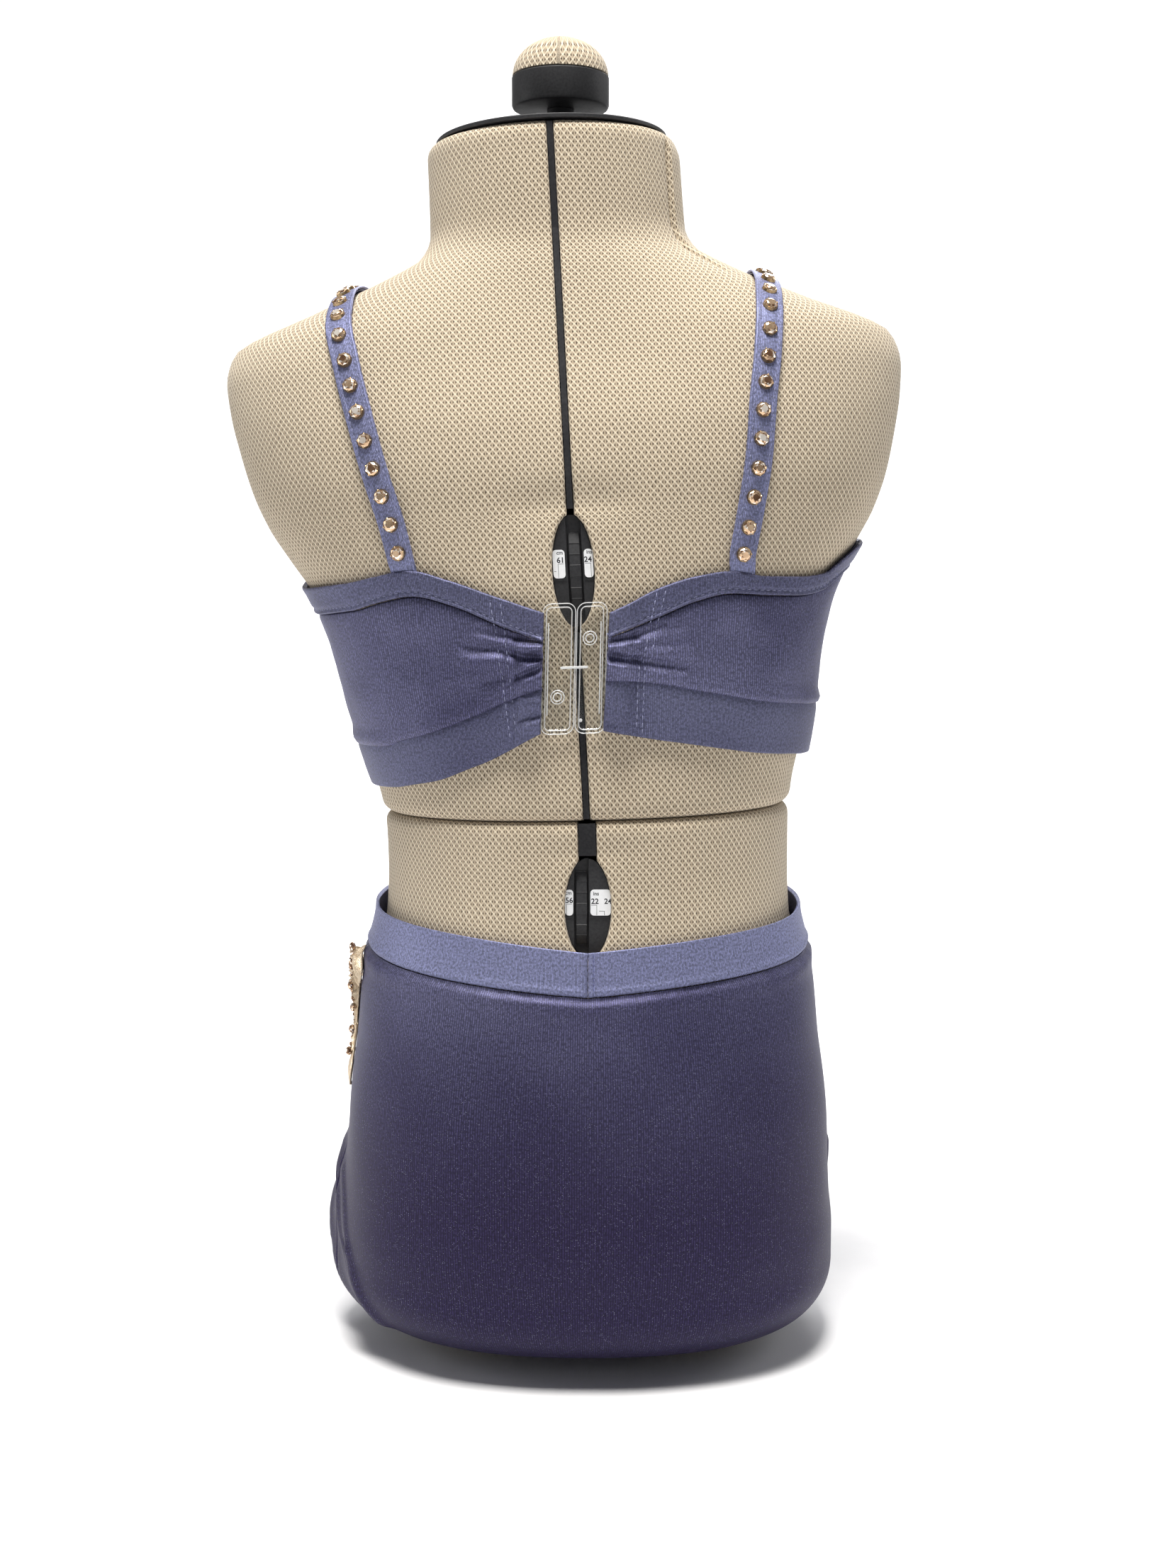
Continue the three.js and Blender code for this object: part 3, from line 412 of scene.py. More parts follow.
def mapped_grid(
    across: np.ndarray,
    up: np.ndarray,
    place: Placing,
    lay: Placing,
) -> Mesh:
    """A grid whose points are placed by a function, with its own UV map in metres.

    Args:
        across: Values of the columns.
        up: Values of the rows.
        place: Gives the placed points for arrays of column and row values.
        lay: Gives the UV places for the same arrays.

    Returns:
        The grid as a bmesh.
    """
    bm = bmesh.new()
    layer = bm.loops.layers.uv.new("weave")
    columns = len(across) - 1
    rows = len(up) - 1
    bmesh.ops.create_grid(bm, x_segments=columns, y_segments=rows, size=0.5)
    places = np.array([vertex.co[:2] for vertex in bm.verts]) + 0.5
    column = across[np.rint(places[:, 0] * columns).astype(int)]
    row = up[np.rint(places[:, 1] * rows).astype(int)]
    flat = lay(column, row)
    for vertex, point in zip(bm.verts, place(column, row)):
        vertex.co = point
    bm.verts.index_update()
    for face in bm.faces:
        for loop in face.loops:
            loop[layer].uv = flat[loop.vert.index]
    return bm


def grid_sizes(bm: Mesh, columns: int, rows: int) -> tuple[float, float, float]:
    """Greatest width and length of a mapped grid along its lines, and its area, in metres.

    Args:
        bm: A grid from mapped_grid.
        columns: Number of its columns of points.
        rows: Number of its rows of points.

    Returns:
        Width, length and area.
    """
    points = np.array([vertex.co[:] for vertex in bm.verts]).reshape(rows, columns, 3)
    width = np.linalg.norm(np.diff(points, axis=1), axis=-1).sum(axis=1).max()
    length = np.linalg.norm(np.diff(points, axis=0), axis=-1).sum(axis=0).max()
    area = sum(face.calc_area() for face in bm.faces)
    return float(width), float(length), float(area)


def spun(profile: Sequence[tuple[float, float]], centre: tuple[float, float], steps: int) -> Mesh:
    """A turned shape about an upright axis.

    Args:
        profile: Radius and height of each point, in millimetres.
        centre: The axis's x and y, in millimetres.
        steps: Number of steps round.

    Returns:
        The shape, placed in metres.
    """
    bm = bmesh.new()
    axis = Vector((*centre, 0)) * MM
    line = [bm.verts.new(axis + Vector((radius, 0, height)) * MM) for radius, height in profile]
    edges = [bm.edges.new(pair) for pair in zip(line[:-1], line[1:])]
    bmesh.ops.spin(
        bm,
        geom=line + edges,
        cent=axis,
        axis=(0, 0, 1),
        angle=math.tau,
        steps=steps,
        use_merge=True,
    )
    bmesh.ops.remove_doubles(bm, verts=bm.verts[:], dist=1e-6)
    bmesh.ops.recalc_face_normals(bm, faces=bm.faces[:])
    return bm


def rounded_plate(
    width: float,
    height: float,
    radius: float,
    thickness: float,
    centre: tuple[float, float] = (0.0, 0.0),
    corners: int = 5,
) -> Mesh:
    """A flat plate with rounded corners, lying in XY and rising from z = 0, in millimetres.

    Args:
        width: Size along X.
        height: Size along Y.
        radius: Radius of the corners.
        thickness: Size along Z.
        centre: Middle of the plate.
        corners: Steps in each corner.

    Returns:
        The plate as a closed bmesh.
    """
    bm = bmesh.new()
    bmesh.ops.create_grid(bm, x_segments=1, y_segments=1, size=0.5)
    bmesh.ops.scale(bm, vec=(width, height, 1), verts=bm.verts[:])
    shifted(bm, *centre)
    bmesh.ops.bevel(
        bm,
        geom=bm.verts[:],
        offset=radius,
        segments=corners,
        profile=0.5,
        affect="VERTICES",
        material=-1,
    )
    return extruded(bm, thickness)


def spot_of(face: bmesh.types.BMFace) -> tuple[float, ...]:
    """Rounded middle of a face, to put faces in the same order on each run."""
    return tuple(round(value, 4) for value in face.calc_center_median())


def soften_edges(bm: Mesh, width: float, angle: float = 40.0, segments: int = 2) -> None:
    """Rounds the sharp edges of a closed shape.

    Args:
        bm: The shape.
        width: How wide the rounding is.
        angle: Edges that turn more than this many degrees are rounded.
        segments: Steps across the rounding.
    """
    limit = math.radians(angle)
    sharp = [edge for edge in bm.edges if edge.is_manifold and edge.calc_face_angle(0.0) > limit]
    bmesh.ops.bevel(
        bm,
        geom=sharp,
        offset=width,
        segments=segments,
        profile=0.5,
        affect="EDGES",
        material=-1,
        clamp_overlap=True,
    )


def moved(bm: Mesh, place: Callable[[np.ndarray], np.ndarray]) -> None:
    """Moves all points of a shape by a function of their coordinates.

    Args:
        bm: The shape.
        place: Gives the new points for an array of points.
    """
    points = np.array([vertex.co[:] for vertex in bm.verts])
    for vertex, point in zip(bm.verts, place(points)):
        vertex.co = point


def joined(parts: Sequence[Mesh]) -> Mesh:
    """Puts several shapes, which are freed, into one.

    Args:
        parts: The shapes.

    Returns:
        One shape that holds them all.
    """
    whole = bmesh.new()
    for part in parts:
        spare = bpy.data.meshes.new("spare")
        part.to_mesh(spare)
        part.free()
        whole.from_mesh(spare)
        bpy.data.meshes.remove(spare)
    return whole


def oriented(origin: Vector, along: Vector, normal: Vector, sizes: Sequence[float]) -> Matrix:
    """Matrix that lays a unit shape along a direction on a surface.

    Args:
        origin: Where its middle goes.
        along: Direction of its X axis.
        normal: Direction of its Z axis, roughly.
        sizes: Its size along X, Y and Z.

    Returns:
        The matrix.
    """
    x = along.normalized()
    z = (normal - x * normal.dot(x)).normalized()
    y = z.cross(x)
    turn = Matrix((x, y, z)).transposed().to_4x4()
    return Matrix.Translation(origin) @ turn @ Matrix.Diagonal((*sizes, 1.0))


# Finishes

Colour = tuple[float, float, float]
Socket = bpy.types.NodeSocket


class Shader:
    """Short ways of building one procedural material."""

    def __init__(self, name: str) -> None:
        """Makes an empty material with a principled shader.

        Args:
            name: Name of the material.
        """
        self.material = bpy.data.materials.new(name)
        self.material.use_nodes = True
        self.tree = self.material.node_tree
        self.surface = self.tree.nodes["Principled BSDF"]

    def node(self, kind: str, inputs: dict[Any, Any] | None = None, **settings: Any) -> bpy.types.Node:
        """Adds a node.

        Args:
            kind: Node type without its "ShaderNode" prefix.
            inputs: Values or sockets for its inputs, by name or index.
            **settings: Properties of the node.

        Returns:
            The node.
        """
        made = self.tree.nodes.new("ShaderNode" + kind)
        for key, value in settings.items():
            setattr(made, key, value)
        for key, value in (inputs or {}).items():
            if isinstance(value, Socket):
                self.tree.links.new(value, made.inputs[key])
            else:
                made.inputs[key].default_value = value
        return made

    def maths(self, operation: str, first: Any, second: Any = 0.0) -> Socket:
        """Result of one sum on two values or sockets."""
        return self.node("Math", {0: first, 1: second}, operation=operation).outputs[0]

    def times(self, first: Any, second: Any) -> Socket:
        """Product of two values or sockets."""
        return self.maths("MULTIPLY", first, second)

    def inverse(self, value: Any) -> Socket:
        """What a share leaves of 1."""
        return self.maths("SUBTRACT", 1.0, value)

    def about(self, value: Any, span: float, middle: float) -> Socket:
        """A share scaled to a span and added to a value."""
        return self.maths("ADD", self.times(value, span), middle)

    def weave(self, turn: float = 0.0) -> Socket:
        """The piece's own UV map in millimetres, turned by some degrees.

        Args:
            turn: Turn of the pattern in degrees.

        Returns:
            The coordinates.
        """
        flat = self.node("UVMap", uv_map="weave").outputs[0]
        inputs = {0: flat, 2: (0, 0, math.radians(turn)), 3: (1 / MM, 1 / MM, 1 / MM)}
        return self.node("Mapping", inputs).outputs[0]

    def bands(self, pitch: float, distortion: float, turn: float = 0.0) -> Socket:
        """Soft bands of the weave, a pitch in millimetres apart, 0 on their middle lines."""
        inputs = {0: self.weave(turn), "Scale": BAND_SCALE / pitch, "Distortion": distortion, "Detail": 2.0}
        return self.node("TexWave", inputs, wave_type="BANDS", bands_direction="X").outputs["Fac"]

    def place(self) -> Socket:
        """Object coordinates, in metres."""
        return self.node("TexCoord").outputs["Object"]

    def noise(self, vector: Socket, scale: float, detail: float = 2.0) -> Socket:
        """Grey noise over some coordinates."""
        return self.node("TexNoise", {"Vector": vector, "Scale": scale, "Detail": detail}).outputs["Fac"]

    def ramp(self, value: Socket, low: float, high: float) -> Socket:
        """Soft step of a value from low to high."""
        inputs = {"Value": value, "From Min": low, "From Max": high}
        return self.node("MapRange", inputs, interpolation_type="SMOOTHSTEP").outputs[0]

    def mix(self, share: Any, first: Any, second: Any) -> Socket:
        """Colour between two colours or sockets.

        Args:
            share: Share from 0 to 1.
            first: Colour at a share of 0.
            second: Colour at a share of 1.

        Returns:
            The colour.
        """
        values = [(*item, 1.0) if isinstance(item, tuple) else item for item in (first, second)]
        inputs = {0: share, 6: values[0], 7: values[1]}
        return self.node("Mix", inputs, data_type="RGBA").outputs[2]

    def bump(self, height: Socket, strength: float, distance: float, under: Socket | None = None) -> Socket:
        """Bumped normal.

        Args:
            height: Height of the relief, 0 to 1.
            strength: Strength of the relief.
            distance: Depth of the relief in metres.
            under: A normal that it adds to.

        Returns:
            The normal.
        """
        inputs = {"Strength": strength, "Distance": distance, "Height": height}
        if under is not None:
            inputs["Normal"] = under
        return self.node("Bump", inputs).outputs[0]

    def set(self, **inputs: Any) -> None:
        """Sets or links inputs of the principled shader; underscores stand for spaces."""
        for key, value in inputs.items():
            socket = self.surface.inputs[key.replace("_", " ")]
            if isinstance(value, Socket):
                self.tree.links.new(value, socket)
            else:
                socket.default_value = value


@dataclass(frozen=True)
class Satin:
    """Stretch satin: fine upright ribs, a grainy sheen that is partly real and partly painted on the threads,
    glitter specks painted as pale glints, and painted shade that darkens it towards the bottom of the form.
    """

    name: str
    light: Colour = (0.132, 0.129, 0.218)
    dark: Colour = (0.062, 0.058, 0.118)
    # Painted shade: the dark tone that the satin turns to towards the bottom of the form
    deep: Colour = (0.029, 0.022, 0.060)
    # Painted glint: pale bluish colour given to the cloth's glitter specks
    speck: Colour = (0.50, 0.52, 0.70)
    rib_pitch: float = 1.05
    speck_share: float = 0.34
    roughness: float = 0.54
    metallic: float = 0.50

    def material(self) -> bpy.types.Material:
        """Builds the finish.

        Returns:
            The material.
        """
        shader = Shader(self.name)
        where = shader.place()
        cloth = shader.weave()
        tone = shader.ramp(shader.noise(where, 11.0, 3.0), 0.28, 0.72)
        grain = shader.noise(cloth, 0.9, 5.0)
        # Glitter specks of the cloth, painted into the base colour as pale bluish glints
        cells = shader.node("TexVoronoi", {"Vector": cloth, "Scale": 1.9})
        lot = shader.node("SeparateColor", {0: cells.outputs["Color"]}).outputs[0]
        chosen = shader.ramp(lot, 1.0 - self.speck_share, 1.0)
        dot = shader.inverse(shader.ramp(cells.outputs["Distance"], 0.12, 0.38))
        glint = shader.times(chosen, dot)
        # Painted shade: below 0.215 m the colour turns towards the darkest tone, fully by 0.07 m, for the
        # overhead light falling off lower down
        height = shader.node("SeparateXYZ", {0: where}).outputs[2]
        lower = shader.inverse(shader.ramp(height, 0.07, 0.215))
        base = shader.mix(lower, shader.mix(tone, self.dark, self.light), self.deep)
        # Threads painted lighter and bluer as painted sheen, and darker between them as painted shade; the
        # ribs' relief itself is real
        bands = shader.bands(self.rib_pitch, 1.4)
        thread = shader.times(shader.ramp(grain, 0.32, 0.66), bands)
        painted_thread_sheen = shader.mix(thread, self.toned(shader, base, 0.60), self.toned(shader, base, 1.65))
        colour = shader.mix(shader.times(glint, 0.42), painted_thread_sheen, self.speck)
        ribs = shader.bump(bands, 0.15, 0.0001)
        relief = shader.bump(grain, 0.35, 0.0002, ribs)
        roughness = shader.about(shader.maths("SUBTRACT", grain, 0.5), 0.25, self.roughness)
        shader.set(Base_Color=colour, Roughness=roughness, Normal=relief)
        shader.set(Metallic=self.metallic, Specular_IOR_Level=0.2)
        return shader.material

    def toned(self, shader: Shader, colour: Socket, share: float) -> Socket:
        """The same colour with painted light: darker between the threads as painted shade, or lighter and
        bluer on them as painted sheen.

        Args:
            shader: Shader of the material.
            colour: The colour.
            share: How light it becomes, 1 for no change.

        Returns:
            The new colour.
        """
        blue = share * (1.08 if share > 1 else 0.98)
        inputs = {0: colour, 1: (share * 0.97, share, blue)}
        return shader.node("VectorMath", inputs, operation="MULTIPLY").outputs[0]


@dataclass(frozen=True)
class Knit:
    """Mesh knit: a net of pale slanting yarns, with two small dark holes in each diamond."""

    name: str = "beige_knit"
    yarn: Colour = (0.76, 0.67, 0.515)
    ground: Colour = (0.45, 0.365, 0.26)
    shade: Colour = (0.33, 0.262, 0.183)
    hole: Colour = (0.062, 0.044, 0.028)
    wide: float = 2.9
    tall: float = 3.5
    lean_run: float = 0.054
    slot_at: float = 0.0128

    def material(self) -> bpy.types.Material:
        """Builds the finish.

        Returns:
            The material.
        """
        shader = Shader(self.name)
        where = shader.place()
        slope = math.degrees(math.atan2(1 / self.tall, 1 / self.wide))
        pitch = 1 / math.hypot(1 / self.tall, 1 / self.wide)
        down = shader.bands(pitch, 1.1, -slope)
        up = shader.bands(pitch, 1.1, slope)
        loops = shader.bands(self.wide / 2, 1.1)
        inside = shader.times(shader.ramp(down, 0.08, 0.60), shader.ramp(up, 0.08, 0.60))
        opened = shader.times(inside, shader.ramp(loops, 0.22, 0.78))
        spot = shader.node("SeparateXYZ", {0: where})
        aside = shader.about(spot.outputs[2], self.lean_run, spot.outputs[0])
        side = shader.maths("GREATER_THAN", aside, self.slot_at)
        either = shader.node("Mix", {0: side, 2: up, 3: down}).outputs[0]
        strong = shader.inverse(shader.ramp(either, 0.02, 0.30))
        weak = shader.inverse(shader.ramp(shader.maths("MINIMUM", down, up), 0.02, 0.30))
        lines = shader.maths("MAXIMUM", shader.times(strong, 0.6), shader.times(weak, 0.35))
        knots = shader.inverse(shader.ramp(shader.maths("ADD", down, up), 0.10, 0.60))
        raised = shader.maths("MAXIMUM", lines, knots)
        tone = shader.ramp(shader.noise(where, 14.0, 3.0), 0.3, 0.7)
        fuzz = shader.noise(where, 900.0, 2.0)
        toned = shader.mix(shader.times(tone, 0.35), self.ground, self.shade)
        netted = shader.mix(shader.times(raised, 0.95), toned, self.yarn)
        colour = shader.mix(shader.times(opened, 0.95), netted, self.hole)
        height = shader.maths("SUBTRACT", shader.times(raised, 0.5), opened)
        relief = shader.bump(height, 0.6, 0.0005)
        fine = shader.bump(fuzz, 0.25, 0.0003, relief)
        shader.set(Base_Color=colour, Roughness=shader.about(fuzz, 0.1, 0.82), Normal=fine)
        shader.set(Specular_IOR_Level=0.25, Sheen_Weight=0.15)
        return shader.material


@dataclass(frozen=True)
class Plain:
    """A moulded, metal, thread or card finish whose tone, roughness and relief vary a little."""

    name: str
    light: Colour
    dark: Colour
    roughness: float = 0.45
    metallic: float = 0.0
    grain: float = 900.0
    relief: float = 0.15
    specular: float = 0.5

    def material(self) -> bpy.types.Material:
        """Builds the finish.

        Returns:
            The material.
        """
        shader = Shader(self.name)
        where = shader.place()
        broad = shader.ramp(shader.noise(where, self.grain / 12.0, 3.0), 0.3, 0.7)
        fine = shader.noise(where, self.grain, 3.0)
        colour = shader.mix(shader.ramp(fine, 0.2, 0.7), self.dark, self.light)
        varied = shader.mix(shader.times(broad, 0.4), colour, self.dark)
        shader.set(Base_Color=varied, Roughness=shader.about(broad, 0.10, self.roughness - 0.05))
        shader.set(Normal=shader.bump(fine, self.relief, 0.0001))
        shader.set(Metallic=self.metallic, Specular_IOR_Level=self.specular)
        return shader.material


@dataclass(frozen=True)
class ClearPlastic:
    """Clear moulded plastic with a faint haze."""

    name: str = "clear_plastic"
    tint: Colour = (0.93, 0.95, 0.95)
    cloud: Colour = (0.86, 0.88, 0.88)
    clearness: float = 1.0
    roughness: float = 0.03
    body: float = 0.55

    def material(self) -> bpy.types.Material:
        """Builds the finish.

        Returns:
            The material.
        """
        shader = Shader(self.name)
        where = shader.place()
        haze = shader.ramp(shader.noise(where, 220.0, 3.0), 0.45, 0.7)
        rough = shader.about(haze, 0.06, self.roughness)
        shader.set(Base_Color=shader.mix(haze, self.tint, self.cloud), Roughness=rough)
        shader.set(Transmission_Weight=self.clearness, IOR=1.46, Alpha=self.body)
        return shader.material


@dataclass(frozen=True)
class Embroidery:
    """Metallic thread laid in close stitches across each leaf."""

    name: str = "gold_thread"
    light: Colour = (0.97, 0.87, 0.70)
    dark: Colour = (0.60, 0.44, 0.27)
    pitch: float = 0.55

    def material(self) -> bpy.types.Material:
        """Builds the finish.

        Returns:
            The material.
        """
        shader = Shader(self.name)
        bands = shader.bands(self.pitch, 1.2)
        spots = shader.noise(shader.place(), 700.0, 3.0)
        share = shader.times(bands, shader.ramp(spots, 0.25, 0.6))
        colour = shader.mix(share, self.dark, self.light)
        relief = shader.bump(bands, 0.6, 0.0003, shader.bump(spots, 0.4, 0.0003))
        shader.set(Base_Color=colour, Roughness=shader.about(spots, 0.2, 0.25))
        shader.set(Normal=relief, Metallic=0.65)
        return shader.material


@dataclass(frozen=True)
class Palette:
    """All finishes of the model, built once."""

    satin: bpy.types.Material
    band: bpy.types.Material
    waist: bpy.types.Material
    knit: bpy.types.Material
    black: bpy.types.Material
    matt: bpy.types.Material
    clear: bpy.types.Material
    clear_edge: bpy.types.Material
    thread: bpy.types.Material
    dark_thread: bpy.types.Material
    gold: bpy.types.Material
    amber: bpy.types.Material
    pale_stone: bpy.types.Material
    dark_stone: bpy.types.Material
    cup: bpy.types.Material
    card: bpy.types.Material
    ink: bpy.types.Material

    def stones(self) -> tuple[bpy.types.Material, ...]:
        """The three finishes of the stones' facets: the amber colour, and a paler and a darker copy that are
        painted highlight and painted shade.
        """
        return self.amber, self.pale_stone, self.dark_stone

    @classmethod
    def built(cls) -> "Palette":
        """Builds every finish.

        Returns:
            The finishes.
        """
        # Lighter copy of the satin for the waistband and straps: painted sheen of the overhead light on the
        # same cloth
        light = (0.238, 0.246, 0.392)
        dark = (0.192, 0.198, 0.325)
        # Whiter, frostier, less clear copy of the clear plastic for the clasp's raised parts: painted
        # highlight where light catches the clear edges
        edge = ClearPlastic("clear_plastic_edge", (0.97, 0.98, 0.98), (0.92, 0.93, 0.93), 0.4, 0.14, 0.95)
        black = Plain("black_plastic", (0.028, 0.028, 0.030), (0.014, 0.014, 0.016), 0.55, specular=0.35)
        finishes = {
            "satin": Satin("slate_satin"),
            "band": Satin("slate_band", (0.134, 0.135, 0.218), (0.080, 0.079, 0.142), rib_pitch=0.7),
            "waist": Satin("slate_waist", light, dark, dark, rib_pitch=0.7),
            "knit": Knit(),
            "black": black,
            "matt": Plain("matt_black", (0.024, 0.024, 0.026), (0.011, 0.011, 0.013), 0.75, specular=0.2),
            "clear": ClearPlastic(),
            "clear_edge": edge,
            "thread": Plain("pale_thread", (0.29, 0.30, 0.45), (0.16, 0.17, 0.29), 0.6, grain=2400.0),
            "dark_thread": Plain("slate_thread", (0.10, 0.11, 0.25), (0.05, 0.055, 0.15), 0.6, grain=2400.0),
            "gold": Embroidery(),
            # Stone facets: the amber colour, with a pale copy as painted highlight and a dark copy as painted
            # shade and dark reflection
            "amber": Plain("amber_stone", (0.90, 0.66, 0.44), (0.58, 0.38, 0.23), 0.10, 0.75, 320.0, 0.02),
            "pale_stone": Plain("pale_facet", (1.0, 0.94, 0.86), (0.92, 0.80, 0.68), 0.10, 0.6, 320.0, 0.02),
            "dark_stone": Plain("dark_facet", (0.30, 0.17, 0.10), (0.14, 0.07, 0.04), 0.08, 0.6, 320.0, 0.02),
            "cup": Plain("bronze_cup", (0.62, 0.46, 0.26), (0.26, 0.17, 0.09), 0.3, 1.0, 600.0, 0.1),
            "card": Plain("white_card", (0.86, 0.87, 0.88), (0.78, 0.79, 0.80), 0.55, 0.0, 500.0, 0.03),
            "ink": Plain("black_ink", (0.035, 0.035, 0.04), (0.015, 0.015, 0.02), 0.6, 0.0, 500.0, 0.03),
        }
        return cls(**{name: finish.material() for name, finish in finishes.items()})


# The dress form


@dataclass(frozen=True)
class Window:
    """A scale window of a dial: its spread across, its lettering and its printed lines.

    Each letter row is (text, x, height, size); each line is (x, height, end x, end height).
    """

    low: float
    high: float
    height: float
    tall: float
    letters: tuple[tuple[str, float, float, float], ...]
    lines: tuple[tuple[float, float, float, float], ...]


@dataclass(frozen=True)
class Dial:
    """An adjusting dial at the centre back, behind an oval opening."""

    name: str
    height: float
    half_width: float
    half_height: float
    wheel_x: float
    windows: tuple[Window, ...]
    depth: float = 6.7
    plate_recess: float = 3.4
    wheel_width: float = 4.6
    wheel_radius: float = 34.0
    wheel_rise: float = 1.6
    wheel_sides: int = 46
    slot_gap: float = 0.7
    fit_gap: float = 0.3
    back_step: float = 2.6
    wheel_depth: float = 3.2

    def half_at(self, height: Any) -> np.ndarray:
        """Half width of the oval at a height, 0 outside it."""
        share = 1 - ((np.asarray(height, float) - self.height) / self.half_height) ** 2
        return self.half_width * np.sqrt(np.maximum(share, 0))

    def plate(self, low_x: float, high_x: float, floor: float, face: float) -> Mesh:
        """The stretch of the oval plate between two upright cuts.

        Args:
            low_x: Where it starts.
            high_x: Where it ends.
            floor: Distance of its underside from the form's axis.
            face: Distance of its outer face.

        Returns:
            The piece, with x across, y up and z outward.
        """
        bm = bmesh.new()
        bmesh.ops.create_circle(bm, cap_ends=True, radius=1.0, segments=72)
        sizes = (self.half_width - self.fit_gap, self.half_height - self.fit_gap, 1)
        bmesh.ops.scale(bm, vec=sizes, verts=bm.verts[:])
        cut_off(bm, (low_x, 0, 0), (-1, 0, 0))
        cut_off(bm, (high_x, 0, 0), (1, 0, 0))
        extruded(bm, face - floor)
        shifted(bm, z=floor)
        soften_edges(bm, 0.25)
        return bm

    def wheel(self, face: float) -> Mesh:
        """The notched wheel, cut off below the plate.

        Args:
            face: Distance of the plate's face from the form's axis.

        Returns:
            The wheel, with x across, y up and z outward.
        """
        bm = bmesh.new()
        lie = Matrix.Rotation(math.pi / 2, 4, "Y")
        bmesh.ops.create_cone(
            bm,
            cap_ends=True,
            segments=self.wheel_sides,
            radius1=self.wheel_radius,
            radius2=self.wheel_radius,
            depth=self.wheel_width,
            matrix=lie,
        )
        sides = [item for item in bm.faces if len(item.verts) == 4]
        chosen = [side for side in sides if int(side.calc_center_median().angle(Vector((0, 0, 1))) * 13) % 2]
        bmesh.ops.inset_individual(bm, faces=chosen, thickness=0.35, depth=-0.25)
        shifted(bm, x=self.wheel_x, z=face + self.wheel_rise - self.wheel_radius)
        cut_off(bm, (0, 0, face - self.wheel_depth), (0, 0, -1))
        bmesh.ops.holes_fill(bm, edges=bm.edges[:])
        bmesh.ops.recalc_face_normals(bm, faces=bm.faces[:])
        return bm

    def printed(self, window: Window, face: float) -> list[Mesh]:
        """Card, numbers and lines of one window.

        Args:
            window: The window.
            face: Distance of the plate's face from the form's axis.

        Returns:
            The shapes, with their material indices.
        """
        card_rise = 0.25
        print_width = 0.16
        x = (window.low + window.high) / 2
        y = window.height - self.height
        wide = window.high - window.low
        card = rounded_plate(wide, window.tall, 1.5, card_rise, (x, y))
        sill = rounded_plate(wide + 0.6, 0.35, 0.15, 0.45, (x, y - window.tall / 2 - 0.7), 2)
        shapes = [marked(shifted(card, z=face), 1), marked(shifted(sill, z=face), 0)]
        for text, x, height, size in window.letters:
            letters = lettering(text, size, (x, height - self.height, face + card_rise + 0.02))
            shapes.append(marked(letters, 2))
        for x, height, end_x, end_height in window.lines:
            sizes = (abs(end_x - x) + print_width, abs(end_height - height) + print_width)
            centre = ((x + end_x) / 2, (height + end_height) / 2 - self.height)
            line = rounded_plate(*sizes, 0.05, 0.04, centre, 1)
            shapes.append(marked(shifted(line, z=face + card_rise), 2))
        return shapes

    def build(self, shape: FormShape, palette: Palette) -> bpy.types.Object:
        """Builds the dial with its plate, wheel and windows.

        Args:
            shape: Shape of the form that it sits in.
            palette: The finishes.

        Returns:
            The dial as one piece.
        """
        edge = float(shape.back(self.height))
        face = edge - self.plate_recess
        floor = edge - self.depth
        cut = self.wheel_width / 2 + self.slot_gap
        shapes = [
            self.plate(-self.half_width, self.wheel_x - cut, floor, face),
            self.plate(self.wheel_x + cut, self.half_width, floor, face),
            self.plate(-self.half_width, self.half_width, floor, face - self.back_step),
            self.wheel(face),
        ]
        for window in self.windows:
            shapes += self.printed(window, face)
        bm = joined(shapes)
        moved(bm, lambda p: shape.placed(np.stack([p[:, 0], -p[:, 2], p[:, 1] + self.height], -1)))
        finishes = (palette.black, palette.card, palette.ink)
        return object_from(f"adjusting_{self.name}", bm, *finishes, smooth=False)


def lettering(text: str, size: float, place: tuple[float, float, float]) -> Mesh:
    """Plain numbers or letters, centred on a place and turned into a mesh.

    Args:
        text: What they say.
        size: Size of the letters.
        place: Middle of their baseline.

    Returns:
        The letters, lying in XY.
    """
    curve = bpy.data.curves.new("lettering", "FONT")
    curve.body = text
    curve.size = size
    curve.align_x = "CENTER"
    curve.resolution_u = 3
    curve.offset = 0.022 * size
    written = bpy.data.objects.new("lettering", curve)
    bpy.context.scene.collection.objects.link(written)
    bpy.context.view_layer.update()
    graph = bpy.context.evaluated_depsgraph_get()
    mesh = bpy.data.meshes.new_from_object(written.evaluated_get(graph))
    bm = bmesh.new()
    bm.from_mesh(mesh)
    bpy.data.objects.remove(written)
    bpy.data.curves.remove(curve)
    bpy.data.meshes.remove(mesh)
    return shifted(bm, *place)


